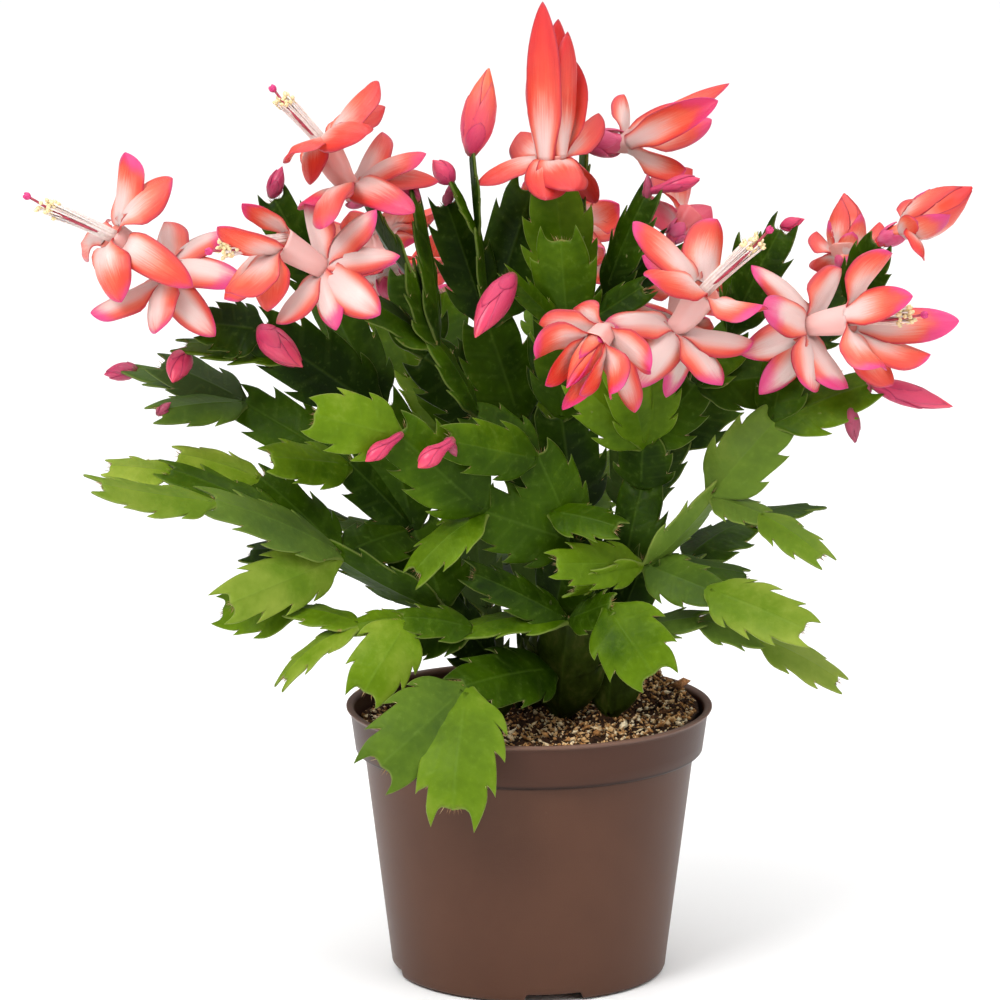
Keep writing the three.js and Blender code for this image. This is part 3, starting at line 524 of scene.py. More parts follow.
def start_of(came_from, stem):
    """Where a pad starts: at the stem's root, at its own point, or just inside another's tip"""
    if came_from == "root":
        x, y = ROOTS[stem]
        return np.array([x, y, soil_top(x, y) + 0.5])
    if not isinstance(came_from, str):
        return sheet(*came_from)
    parent = grown[came_from]
    return parent["tip"] - parent["d"] * SUNK


grown = {}
pads = {stem: [] for stem in ROOTS}
count = 0
for stem, rows in STEMS.items():
    for key, came_from, a, b, c, width, turn, bow, *thick in rows:
        count += 1
        at = grown[key] = lie(start_of(came_from, stem), sheet(a, b, c), turn, FRONT)
        # The default tone paints shade: pads further back are darker and those further forward
        # lighter, with a random part
        tone = AGE_AND_LIGHT_TONES.get(key, 0.32 + 0.0022 * c + 0.25 * (uneven(count + 0.4) - 0.5))
        pads[stem].append((at, width, bow, thick[0] if thick else RIB, count, float(tone),
                           GREY_SHEEN.get(key, 0.0)))

for stem, shoots in SHOOTS.items():
    for shoot, came_from, compass, rise, many in shoots:
        for i in range(many):
            count += 1
            begin = start_of(shoot + str(i - 1) if i else came_from, stem)
            spin = math.radians(compass + 26 * (uneven(count) - 0.5))
            climb = math.radians(rise - i * (8 + 5 * uneven(count + 0.5)))
            out = np.array([math.cos(spin), math.sin(spin), 0])
            d = out * math.cos(climb) + RISE * math.sin(climb)
            tip = begin + d * (29 + 5 * uneven(count + 0.7))
            at = lie(begin, tip, 50 * (uneven(count + 0.2) - 0.5), out * 0.5 + RISE * 0.87)
            grown[shoot + str(i)] = at
            if came_from == "root" and i == 0:
                width, thick, tone = 15, OLD_RIB, 0.1
            else:
                width, thick = 19 + 5 * uneven(count + 0.9), RIB
                tone = 0.3 + 0.07 * i + 0.2 * (uneven(count + 0.4) - 0.5)
            pads[stem].append((at, width, 1.5, thick, count, float(tone), 0.0))


# ---- Pads ----

def outline(teeth, seed):
    """Half of a pad's outline, shares of its length and half width: a narrow neck, lobes that swell
    and run out into forward claws with a hollow behind each, then the horn and the blunt end"""
    line, notches = [], []

    def draw(many, *points):
        line.append(bezier(points, np.linspace(0, 1, many)[:-1]))

    at = (0.13, 0.55)
    draw(5, (-0.03, 0.13), (0.02, 0.2), (0.07, 0.36), at)
    for k, u in enumerate(teeth):
        full = float(np.interp(u, [0.13, 0.3, 0.45, 0.6, 0.75, 0.9], [0.55, 0.92, 1, 1, 0.94, 0.8]))
        tip = (u + 0.02, full + 0.03 + 0.06 * uneven(seed + 0.17 * k))
        low = (u - 0.035 - 0.04 * uneven(seed + 0.31 * k),
               full - 0.13 - 0.1 * uneven(seed + 0.23 * k))
        span = tip[0] - at[0]
        draw(8, at, (at[0] + 0.22 * span, at[1] + 0.85 * (full - at[1])),
             (tip[0] - 0.4 * span, full + 0.06), tip)
        draw(5, tip, (tip[0] - 0.035, tip[1] - 0.05), (low[0] + 0.012, low[1] + 0.05), low)
        notches.append(low)
        at = low
    horn = 0.5 + 0.14 * (uneven(seed + 0.7) - 0.5)
    tip = (1.07 + 0.05 * uneven(seed + 0.77), horn)
    draw(8, at, (at[0] + 0.06, at[1] + 0.09), (0.98, horn + 0.2), tip)
    draw(5, tip, (1.03, horn - 0.05), (0.985, horn - 0.1), (0.97, 0.27))
    draw(4, (0.97, 0.27), (0.965, 0.18), (0.98, 0.08), (AREOLE, 0))
    return np.concatenate(line + [[(AREOLE, 0)]]), notches


def fanned(line, long, half):
    """The same outline, nudged so that each point turns further round the core than the last: the
    smallest angle so far is kept, less a hair for each point, and the distance stays"""
    x, y = (line[:, 0] - CORE) * long, line[:, 1] * half
    slip = 0.008 * np.arange(len(line))
    angle = np.minimum.accumulate(np.arctan2(y, x) + slip) - slip
    angle[-1] = 0
    reach = np.hypot(x, y)
    return np.stack([CORE + reach * np.cos(angle) / long, reach * np.sin(angle) / half], 1)


def pad(skin, hairs, at, width, bow, thick, seed, tone, grey_sheen):
    """A thin arched blade. Point (i, v) lies the share v of the way from a core near the neck to
    point i of the outline, lifted by bow 4u(1-u) - cup h^2 and by half the thickness there, which
    falls from the rib outwards and closes round the edge as a quarter circle does"""
    half, long = width / 2, at["length"]
    cup = (0.03 + 0.05 * uneven(seed + 0.3)) * width
    many = 1 if thick > 5 else (3 if long > 37 or uneven(seed + 0.55) > 0.85 else 2)
    halves, notches = [], []
    for sign in (-1, 1):
        teeth = [u + 0.06 * (uneven(seed + 0.11 * sign + 0.37 * k) - 0.5)
                 for k, u in enumerate(TEETH[many])]
        line, lows = outline(teeth, seed + 0.09 * sign)
        halves.append(fanned(line, long, half) * [1, sign])
        notches += [(u, sign * h, sign) for u, h in lows]
    ring = np.concatenate([halves[0][::-1], halves[1][:-1]])
    share = np.array(UNDER_SHARES + TOP_SHARES)[:, None]
    up = np.array([-1] * len(UNDER_SHARES) + [0] + [1] * (len(TOP_SHARES) - 1))[:, None]
    calm = ring.copy()
    for _ in range(3):
        calm = sum(np.roll(calm, k, 0) for k in range(-4, 5)) / 9
    keep = smooth(0.45, 1.0, share)
    u = CORE + (calm[None, :, 0] + (ring - calm)[None, :, 0] * keep - CORE) * share
    h = (calm[None, :, 1] + (ring - calm)[None, :, 1] * keep) * share
    inset = (1 - share) * np.hypot((ring[:, 0] - CORE) * long, ring[:, 1] * half)[None, :] * 0.6
    rim = 0.42 if thick < 4 else 0.2 * thick

    def spot(u, h, lift):
        phase = np.where(h > 0, uneven(seed + 0.2), uneven(seed - 0.2))
        wave = (0.035 * width * np.abs(h) ** 3 * np.sin(2 * np.pi * (2.1 * u + phase))
                * smooth(0, 0.3, u))
        arch = bow * 4 * u * (1 - u) - cup * h * h + wave
        return (at["start"] + at["d"] * (u * long)[..., None]
                + at["side"] * (h * half)[..., None] + at["n"] * (arch + lift)[..., None])

    middle = np.interp(u, [0, 0.3, 0.67, AREOLE], [thick * 0.42, thick * 0.5, thick * 0.5, 0.9])
    body = rim + (middle - rim) * (1 - np.minimum(1, np.sqrt(h * h + 0.004))) ** 1.2
    body = body + 0.14 * np.exp(-((h / 0.13) ** 2))
    close = np.sqrt(1 - (1 - np.minimum(1, inset / (rim * 1.8))) ** 2)
    # The side mark greys the lower face, and on the listed pads paints a grey sheen onto the upper
    # face
    skin.rings(spot(u, h, up * body * close), along=u, across=np.abs(h), tone=tone,
               side=(up * 0.5 + 0.5) * (1 - grey_sheen), edge=1 - np.minimum(1, inset / 0.7))
    for k, (u, h, sign) in enumerate(notches):
        foot = spot(np.array(u), np.array(h * 0.985), 0)
        bristles(hairs, foot, at, at["d"] + at["side"] * sign * 0.8, 3, 1.8, seed + k)
    foot = spot(np.array(AREOLE - 0.01), np.array(0.0), 0)
    bristles(hairs, foot, at, at["d"] * 1.2, 9, 2.4, seed + 0.9, spread=0.14 * width)


def bristles(skin, foot, at, way, many, length, seed, spread=0.25):
    """Fine three-sided bristles that fan from an areole, each leaning by its own uneven number"""
    k = np.arange(many)
    lean = (uneven(seed + 3.1 * k) - 0.5)[:, None]
    tilt = (uneven(seed + 1.7 * k + 0.5) - 0.5)[:, None]
    d = unit(unit(way) + at["side"] * lean * 1.3 + at["n"] * tilt * 1.1)
    root = foot + at["side"] * lean * 2 * spread + at["n"] * tilt * 0.5 - d * 0.3
    tip = root + d * (length * (0.6 + 0.7 * uneven(seed + 0.9 * k)))[:, None]
    u = unit(np.cross(d, at["n"] + 0.3 * at["side"]))
    turn = np.arange(3) * 2 * np.pi / 3
    ring = root[:, None] + BRISTLE_RADIUS * wheel(u[:, None], np.cross(d, u)[:, None], turn)
    points = np.concatenate([ring, tip[:, None]], 1).reshape(-1, 3)
    one = np.array([[0, 1, 3], [1, 2, 3], [2, 0, 3], [0, 2, 1]])
    faces = (one[None] + 4 * k[:, None, None]).reshape(-1, 3)
    skin.add(points, [faces], tone=np.repeat(uneven(seed + k), 4))


# ---- Blooms, stamens and buds ----

def petal(skin, root, axis, out, tip, width, seed, red, pale, open_share, turned_out):
    """One petal: its spine is the cubic root - shoulder - beyond - tip, its half width swells from
    the foot and runs to a point, and across it the face falls back by cup w^2 with soft folds"""
    reach = tip - root
    long = np.linalg.norm(reach)
    shoulder = (root + axis * (0.3 - 0.06 * open_share) * long
                + out * (0.03 + 0.17 * open_share) * long)
    beyond = (root + reach * 0.62 + out * (0.03 + 0.15 * open_share) * long
              + axis * 0.12 * long * open_share)
    side = unit(np.cross(axis, out))
    s = np.sin(np.linspace(0, 0.5, PETAL_ROWS) * np.pi) ** 1.25
    spine = bezier([root, shoulder, beyond, tip], s)
    run = unit(np.gradient(spine, axis=0))
    back = unit(np.cross(run, side))
    middle = PETAL_ROWS // 2
    shown = math.atan2(np.dot(EYE_WAY, side - run[middle] * np.dot(side, run[middle])),
                       np.dot(EYE_WAY, back[middle]))
    shown = (shown + math.pi / 2) % math.pi - math.pi / 2
    facing = shown - min(max(shown, -SHOWN), SHOWN) if turned_out else 0.0
    roll = (math.radians(24 * (uneven(seed + 0.61) - 0.5)) - facing) * np.sqrt(s[:, None])
    span = unit(side * np.cos(roll) + back * np.sin(roll))
    back = np.cross(run, span)
    swell = 0.52 + 0.48 * smooth(0, 0.36, s)
    point = (1 - np.clip((s - 0.42) / 0.58, 0, 1) ** 2.4) ** 0.74
    half = 0.5 * width * (1.0 + 0.2 * uneven(seed)) * swell * np.maximum(point, 0.02)
    w = np.cos(np.linspace(0, np.pi, PETAL_COLUMNS))
    cup = -0.38 + (0.38 + 0.54 * open_share - 0.34 * (1 - open_share)) * smooth(0.02, 0.4, s)
    fold = (0.045 * np.cos(3 * np.pi * w[None, :] + 6 * uneven(seed + 0.3))
            * smooth(0.05, 0.4, s)[:, None])
    ruffle = 0.07 * np.sin(2 * np.pi * (1.9 * s[:, None] + uneven(seed + 0.3))) * w[None, :] ** 3
    fall = (-cup[:, None] * w[None, :] ** 2 + fold + ruffle * s[:, None]) * half[:, None]
    body = (0.5 * PETAL_THICK * np.sqrt(1 - w ** 2)[None, :]
            * np.interp(s, [0, 0.3, 0.9, 1], [2.4, 1.3, 0.8, 0.3])[:, None])

    def face(columns, up):
        h, b = half[:, None] * w[None, columns], fall[:, columns] + up * body[:, columns]
        return spine[:, None] + span[:, None] * h[..., None] + back[:, None] * b[..., None]

    rings, across = both_faces(face, w)
    near = np.minimum((1 - across) * half[:, None], (1 - s[:, None]) * long * 0.5)
    inner = np.arange(across.size)[None, :] < PETAL_COLUMNS
    skin.rings(rings, along=s[:, None], across=across, tone=red, side=pale * (0.7 + 0.3 * inner),
               seed=uneven(seed + 0.45), edge=np.exp(-np.maximum(near, 0) / 0.6))


def whorl(skin, centre, axis, rim, back, tips, width, seed, red, pale, turned_out=True):
    """Petals that leave the rim round one point of the tube, each towards its own tip; those that
    come at the viewer leave it further back and are narrower"""
    for k, (tip, lean, wide) in enumerate(tips):
        near = max(0.0, lean - 2)
        start = centre - axis * (back + 1.5 * near)
        reach = tip - centre
        flat = reach - axis * np.dot(reach, axis)
        far = np.linalg.norm(flat)
        out = flat / far
        open_share = float(np.clip((far / np.linalg.norm(reach) - 0.2) / 0.5, 0, 1))
        size = width * (0.74 + 0.26 * open_share) * (1 - 0.07 * near) * wide
        petal(skin, start + out * (rim + 1.6 * min(near, 0.6)), axis, out, tip, size, seed + k,
              red, pale, open_share, turned_out)


def petal_tips(whorl_at, rows, centre):
    """Petal tips read from the front, each one's depth set by the petal's own length, with how far
    it leans at the viewer and how wide it is"""
    tips = []
    for a, b, lean, *shares in rows:
        wide, long = shares or (1, 1)
        flat = math.hypot(a - whorl_at[0], b - whorl_at[1])
        deep = math.sqrt(max(6, PETAL_LENGTH ** 2 - flat ** 2))
        tip = sheet(a, b, whorl_at[2] + lean * deep)
        tips.append((centre + (tip - centre) * long, lean, wide))
    return tips


def bloom_tube(skin, seat, low, high, axis, red, pale, mouth, back):
    """The tube of fused petal bases: seat, neck, rear whorl and a funnel to the mouth, whose lip
    turns in and back so that the throat is hollow"""
    first, neck = unit(low - seat), np.linalg.norm(low - seat)
    path = through([seat - first * 1.4, seat + first * neck * 0.45, low,
                    high - axis * (back - 0.8)], TUBE_ROWS)
    s = np.linspace(0, 1, TUBE_ROWS)
    turn = float(neck / (neck + np.linalg.norm(high - low)))
    radii = np.interp(s, [0, 0.25 * turn, 0.6 * turn, turn, turn + 0.5 * (1 - turn), 1],
                      [1.4, 2.3, 2.7, 2.9, 2.9 + 0.62 * (mouth - 2.9), mouth])
    throat = high - axis * (back + np.array([[-0.9], [-0.3], [2.8]]))
    path = np.concatenate([path, throat])
    radii = np.concatenate([radii, mouth * np.array([0.95, 0.84, 0.4])])
    straight = path.copy()
    straight[-3:] = path[-4] + axis * np.array([[0.1], [0.2], [0.3]])
    rings = loft(straight, radii, 24, 0.045, 6, 1.2) + (path - straight)[:, None]
    along = np.interp(s, [0, 0.8 * turn, turn, 1], [0.95, 0.5, 0.1, 0.14])
    along = np.concatenate([along, [0.3, 0.35, 0.5]])
    skin.rings(rings, along=along[:, None], across=0.1, tone=red, side=-0.5 + 0.2 * pale, seed=0.5)


def wrap(skin, path, radii, turn, start, end, spread, lift, **marks):
    """A scale that hugs a round form from the share start to the share end of its path: its half
    angle swells and runs to a point, and it stands lift off the form, thin at its edges"""
    t = np.linspace(0, 1, SCALE_ROWS)
    s = start + (end - start) * t
    x = np.linspace(0, 1, len(path))
    spine = np.stack([np.interp(s, x, path[:, i]) for i in range(3)], 1)
    u, v = square_to(unit(np.gradient(spine, axis=0)))
    w = -np.cos(np.linspace(0, np.pi, SCALE_COLUMNS))
    reach = spread * (0.6 + 0.4 * smooth(0, 0.4, t)) * np.maximum((1 - t ** 2.6) ** 0.7, 0.02)
    angle = turn + reach[:, None] * w[None, :] + 0.25 * t[:, None]
    body = 0.28 * np.sqrt(1 - w ** 2)[None, :]
    r = np.interp(s, x, radii)[:, None] + lift * smooth(-0.2, 0.5, t)[:, None]

    def face(columns, up):
        far = (r + up * body[:, columns])[..., None]
        return spine[:, None] + far * wheel(u[:, None], v[:, None], angle[:, columns])

    rings, across = both_faces(face, w)
    near = np.minimum((1 - across) * (reach * r[:, 0])[:, None], (1 - t[:, None]) * 6)
    skin.rings(rings, along=t[:, None], across=across, edge=np.exp(-np.maximum(near, 0) / 0.4),
               **marks)


def base_scales(skin, seat, low, seed, neck):
    """Short deep pink scales that hug the neck of the tube below the rear petals"""
    path = through([seat - unit(low - seat) * 0.8, low], 12)
    t = np.linspace(0, 1, 12)
    radii = 1.7 + 1.5 * np.sin(np.pi * t * 0.85) * neck
    skin.rings(loft(path, radii * (1 - 0.25 * t), 18), along=0.4, across=0.4, tone=1.4, side=0.0,
               seed=0.3)
    for k in range(5):
        wrap(skin, path, radii, 2.4 * k + seed, 0.05 + 0.04 * k, 0.6 + 0.09 * k, 0.9, 0.3,
             tone=1.45, side=0.0, seed=uneven(seed + k))


def seat_on(key, d, radius, lift=0.0):
    """The point just off a pad's end, clear of it for something that leaves along d"""
    at = grown[key]
    end = at["start"] + at["d"] * at["length"] * AREOLE
    if lift:
        return end + at["n"] * lift
    lean = math.sqrt(max(0, 1 - np.dot(at["d"], d) ** 2))
    return end + at["d"] * (SEAT_GAP + (radius + 0.5) * lean)


def blob(skin, centre, d, length, radius, slot):
    """A small egg along d: radius sin(pi t) at length (t - 1/2)"""
    t = np.linspace(0.04, 0.96, 6)
    path = centre + unit(d) * length * (t - 0.5)[:, None]
    skin.rings(loft(path, radius * np.sin(np.pi * t), 7), slot)


def stamens(skin, high, axis, stigma, seed):
    """White filaments that leave the throat in a column and part a little, each with a cream
    anther, and a longer red style with a knob at its end, in the order of the bundle's finishes"""
    foot = high - axis * 2.0
    run = stigma - foot
    long, way = np.linalg.norm(run), unit(run)
    u, v = square_to(way)
    s = np.linspace(0, 1, 9)
    sag = v * (s * (1 - s))[:, None]
    core = foot + run * (0.84 * s - 0.22)[:, None] + sag
    core = loft(core, np.interp(s, [0, 0.2, 0.85, 1], [1.2, 2.0, 1.8, 0.6]), 16, 0.05, 8, 1.0)
    skin.rings(core)
    for k in range(FILAMENTS):
        out = wheel(u, v, 2.4 * k)
        far = 0.6 + 0.22 * uneven(seed + 1.3 * k)
        ring = math.sqrt((k + 0.6) / FILAMENTS)
        spread = 2.3 * ring + 1.1 * uneven(seed + 2.1 * k)
        path = (foot + run * ((far + 0.1) * s - 0.1)[:, None]
                + out * (1.9 * ring + (spread - 1.9 * ring) * s ** 1.6)[:, None] + sag)
        skin.rings(loft(path, np.interp(s, [0, 1], [0.45, 0.26]), 6))
        blob(skin, path[-1] + way * 0.4, run + out * long * 0.8, 2.0, 0.72, slot=1)
    s = np.linspace(0, 1, 14)
    beside = unit(EYE_WAY - way * np.dot(EYE_WAY, way)) - RISE * 0.5
    bend = 2.5 * np.sin(np.pi * np.minimum(1, s * 1.05)) ** 0.7
    path = foot + run * (s * 0.965)[:, None] + beside * bend[:, None]
    skin.rings(loft(path, np.interp(s, [0, 1], [0.46, 0.42]), 8), slot=2)
    for k in range(5):
        out = wheel(u, v, k * 1.2566)
        blob(skin, foot + run * 0.985 + out * 0.5, way + out * 0.25, 2.9, 0.8, slot=3)


def spindle(skin, seat, tip, width, red, seed, pale=0.0, stalk=0.0):
    """A closed bud: an egg that runs to a point along seat - tip, with overlapping scales on it
    that start at its foot and end further and further on"""
    run = tip - seat
    long = np.linalg.norm(run)
    s = np.linspace(0.0, 0.995, 26)
    radii = np.interp(s, [0, 0.05, 0.14, 0.28, 0.42, 0.6, 0.78, 0.92, 1],
                      [0.26, 0.4, 0.66, 0.92, 1, 0.92, 0.62, 0.26, 0.04])
    slim = np.interp(s, [0, 0.3, 0.42, 0.55, 0.68, 0.8, 0.92, 1],
                     [0.3, 0.36, 0.62, 0.96, 1, 0.84, 0.42, 0.04])
    radii = (radii + (slim - radii) * stalk) * (width / 2 - 0.3)
    path = seat - unit(run) * 1.2 + (run + unit(run) * 1.2) * s[:, None]
    path = path + unit(np.cross(run, RISE)) * (0.03 * long * np.sin(np.pi * s))[:, None]
    skin.rings(loft(path, radii, 20), along=s[:, None], across=0.4, tone=red, side=pale,
               seed=uneven(seed + 0.4))
    ends = [0.34, 0.42, 0.58, 0.66, 0.86, 0.92, 0.98] if width > 4.5 else [0.4, 0.62, 0.9]
    for k, end in enumerate(reversed(ends)):
        inner = len(ends) - 1 - k
        wrap(skin, path, radii, 2.3 * inner + 6.3 * uneven(seed), 0.02, end,
             1.15 if end > 0.8 else 0.85, 0.32 - 0.04 * inner,
             tone=min(1, red * (0.35 + 0.65 * end)), side=pale, seed=uneven(seed + k))


# ---- Materials ----

def colour(code):
    """A web colour as linear light: ((c + 0.055) / 1.055)^2.4, or c / 12.92 when dark"""
    parts = [int(code[i:i + 2], 16) / 255 for i in (0, 2, 4)]
    return [p / 12.92 if p <= 0.04045 else ((p + 0.055) / 1.055) ** 2.4 for p in parts] + [1.0]


def math_node(kind, turned_round=False):
    """A method that adds one Math node for two values, the other one first if turned round"""
    def act(self, other):
        return self.math(kind, *((other, self) if turned_round else (self, other)))
    return act


class Wire:
    """A number, colour or vector on one socket, so that shader maths reads as plain expressions"""

    def __init__(self, paint, socket):
        self.paint, self.socket = paint, socket

    def math(self, operation, *values):
        return self.paint.node("ShaderNodeMath", {"operation": operation}, dict(enumerate(values)))

    __add__ = __radd__ = math_node("ADD")
    __mul__ = __rmul__ = math_node("MULTIPLY")
    __sub__, __rsub__ = math_node("SUBTRACT"), math_node("SUBTRACT", True)
    __pow__ = math_node("POWER")

    def step(self, low, high):
        """0 at low, 1 at high, and eased between"""
        return self.paint.node("ShaderNodeMapRange", {"interpolation_type": "SMOOTHSTEP"},
                               {0: self, 1: low, 2: high, 3: 0.0, 4: 1.0})

    def clipped(self):
        return self.math("MAXIMUM", self.math("MINIMUM", self, 1.0), 0.0)

    def sine(self):
        return self.math("SINE", self)


class Paint:
    def __init__(self, name):
        self.material = bpy.data.materials.new(name)
        self.material.use_nodes = True
        self.tree = self.material.node_tree
        self.shader = self.tree.nodes["Principled BSDF"]

    def set_input(self, socket, value):
        if isinstance(value, Wire):
            self.tree.links.new(value.socket, socket)
        else:
            socket.default_value = value

    def node(self, kind, settings=None, values=None, out=0):
        made = self.tree.nodes.new(kind)
        for name, value in (settings or {}).items():
            if name == "stops":
                ramp = made.color_ramp
                while len(ramp.elements) < len(value):
                    ramp.elements.new(1.0)
                for element, (place, code) in zip(ramp.elements, value):
                    element.position, element.color = place, colour(code)
            else:
                setattr(made, name, value)
        for key, value in (values or {}).items():
            self.set_input(made.inputs[key], value)
        return Wire(self, made.outputs[out])

    def place(self, x=1.0, y=1.0, z=1.0):
        spot = self.node("ShaderNodeTexCoord", out="Object")
        return self.node("ShaderNodeVectorMath", {"operation": "MULTIPLY"}, {0: spot, 1: (x, y, z)})

    def marks(self, *names):
        return [self.node("ShaderNodeAttribute", {"attribute_name": name}, out="Fac")
                for name in names]

    def noise(self, vector, scale, detail=3.0, rough=0.55):
        return self.node("ShaderNodeTexNoise", None,
                         {"Vector": vector, "Scale": scale, "Detail": detail, "Roughness": rough})

    def grain(self, x, y, z):
        return self.node("ShaderNodeCombineXYZ", None, {0: x, 1: y, 2: z})

    def ramp(self, share, *stops):
        return self.node("ShaderNodeValToRGB", {"stops": stops}, {0: share})

    def over(self, base, *layers):
        """Lays each layer's colour over the base by its share, in order"""
        for share, top in layers:
            pair = [colour(c) if isinstance(c, str) else c for c in (base, top)]
            base = self.node("ShaderNodeMix", {"data_type": "RGBA"},
                             {0: share, 6: pair[0], 7: pair[1]}, out=2)
        return base

    def finish(self, base, roughness, bump=None, height=0.0, strength=0.5, **fixed):
        if bump is not None:
            fixed["Normal"] = self.node("ShaderNodeBump", None,
                                        {"Height": bump, "Distance": height, "Strength": strength})
        for name, value in {"Base Color": base, "Roughness": roughness, **fixed}.items():
            self.set_input(self.shader.inputs[name.replace("_", " ")], value)
        return self.material


def leaf_paint():
    """Waxy green pads: darker when old, a faint lighter rib, a fine pale edge, grey undersides, a
    painted grey sheen on some, and painted light and shade in each pad's tone
    """
    p = Paint("waxy_pad")
    along, across, tone, side, edge = p.marks("along", "across", "tone", "side", "edge")
    spot = p.place()
    blotch, fine = p.noise(spot, 60.0), p.noise(spot, 520.0, 4.0)
    shade = (tone + (blotch - 0.5) * 0.5 + (fine - 0.5) * 0.12 + (along - 0.5) * 0.1
             + across.step(0.4, 1.0) * 0.07).clipped()
    green = p.ramp(shade, (0.0, "091300"), (0.22, "172a01"), (0.45, "334d01"), (0.7, "5d7910"),
                   (1.0, "93a23e"))
    rib = 1 - across.step(0.0, 0.07)
    ripple = (along * 30.0 - across * 4.0).sine() * 0.5 + 0.5
    veins = ripple.step(0.8, 1.0) * across.step(0.05, 0.3)
    scar = (p.noise(spot, 210.0, 5.0, 0.7).step(0.6, 0.68) * edge.step(0.1, 0.6)
            * blotch.step(0.46, 0.6))
    cork = p.noise(spot, 330.0).step(0.7, 0.76) * blotch.step(0.56, 0.7)
    bark = p.ramp(p.noise(p.place(1.0, 1.0, 0.25), 260.0, 4.0),
                  (0.3, "1d2208"), (0.55, "34400f"), (0.75, "57562a"))
    green = p.over(green,
                   # Grey on the lower faces, and on the listed pads a painted grey sheen over the
                   # upper face
                   ((1 - side) * 0.4, "55683a"),
                   (rib * 0.1, "6d8c34"),
                   (veins * 0.03, "7f9c40"),
                   (fine.step(0.56, 0.74) * 0.07, "86a050"),
                   (edge.step(0.5, 1.0) * (0.16 + tone * 0.4), "94a052"),
                   (scar * 0.8, "947a4c"),
                   (cork * 0.5, "a89f70"),
                   ((1 - tone.step(0.04, 0.14)) * 0.6, bark))
    rough = 0.42 + (fine - 0.5) * 0.25 + scar * 0.3
    bump = fine * 0.5 + rib * 0.4 + veins * 0.15 - scar * 0.8 + blotch * 1.6 + cork * 0.8
    return p.finish(green, rough, bump, 0.0006, Specular_IOR_Level=0.06)


def petal_paint():
    """Silky petals: blush white at the foot, coral in the middle, a crisp red edge, magenta tip"""
    p = Paint("silk_petal")
    along, across, red, pale = p.marks("along", "across", "tone", "side")
    seed, edge = p.marks("seed", "edge")
    streak = p.noise(p.grain(along * 1.6, across * 8.0, seed * 40.0), 2.4, 4.0, 0.6)
    cloud = p.noise(p.place(), 130.0)
    vein = p.noise(p.grain(along * 0.8, across * 24.0, seed * 40.0), 3.0, 2.0)
    reach = (along * 0.8 + (streak - 0.5) * 0.36 + (across ** 2.0) * 0.3 + (red - 0.5) * 0.5
             + (cloud - 0.5) * 0.2)
    heart = 1 - (along - pale * 0.62 + (streak - 0.5) * 0.3).step(0.08, 0.5)
    tip = (along + across * 0.14 + (cloud - 0.5) * 0.3 + (seed - 0.5) * 0.36).step(0.82, 1.04)
    base = p.ramp(reach, (0.0, "d6a29d"), (0.24, "e7958a"), (0.48, "ee7556"), (0.72, "e44833"),
                  (1.0, "d42a2c"))
    deep = p.ramp(streak + along * 0.3, (0.3, "bc2c66"), (0.6, "d4407a"), (1.0, "e47094"))
    base = p.over(base,
                  ((1 - across.step(0.3, 0.86)) * heart * 0.92, "e3c8c3"),
                  (across.step(0.6, 0.98) * along.step(0.08, 0.4) * 0.7, "dc3c34"),
                  (edge.step(0.2, 0.75) * 0.92, "b81f33"),
                  (tip * (1 - red.step(0.68, 0.86)) * 0.8, "d82f80"),
                  (vein.step(0.5, 0.75) * 0.12, "d9504e"),
                  (red.step(1.15, 1.5) * 0.9, deep))
    return p.finish(base, 0.32 + (streak - 0.5) * 0.16, vein * 0.5 + streak * 0.7, 0.0004,
                    Specular_IOR_Level=0.5, Subsurface_Weight=0.2,
                    Subsurface_Radius=(0.0035, 0.0012, 0.001), Subsurface_Scale=1.0)


def bud_paint():
    """Closed buds: deep magenta foot and scale edges, coral towards the tip of the large ones"""
    p = Paint("satin_bud")
    along, across, red, seed, edge = p.marks("along", "across", "tone", "seed", "edge")
    streak = p.noise(p.grain(along * 3.0, across * 7.0, seed * 30.0), 2.6)
    reach = red * (along * 0.5 + 0.5) + (streak - 0.5) * 0.3 - across * 0.1
    base = p.ramp(reach, (0.0, "a02a50"), (0.25, "c2305c"), (0.5, "d84064"), (0.7, "e2555a"),
                  (0.9, "ea6848"))
    base = p.over(base,
                  (edge.step(0.2, 0.9) * 0.5, "8f1c4a"),
                  ((1 - along.step(0.0, 0.14)) * 0.6, "74563a"),
                  ((1 - red.step(0.02, 0.2)) * 0.4, "94505f"))
    return p.finish(base, 0.34 + (streak - 0.5) * 0.12, streak, 0.0004, Specular_IOR_Level=0.4,
                    Subsurface_Weight=0.1, Subsurface_Radius=(0.003, 0.001, 0.001),
                    Subsurface_Scale=1.0)


def plain_paint(name, dark, light, scale, rough, height=0.0002, **fixed):
    """A finish that wanders between two colours by noise, with the same noise as its bump"""
    p = Paint(name)
    cloud = p.noise(p.place(), scale, 4.0)
    return p.finish(p.over(dark, (cloud.step(0.3, 0.7), light)), rough + (cloud - 0.5) * 0.12,
                    cloud, height, **fixed)


def bristle_paint():
    """Dry bristles, each its own brown or tan"""
    p = Paint("dry_bristle")
    stops = (0.0, "6d4a2c"), (0.5, "a27d4a"), (1.0, "d0b98a")
    return p.finish(p.ramp(*p.marks("tone"), *stops), 0.7)


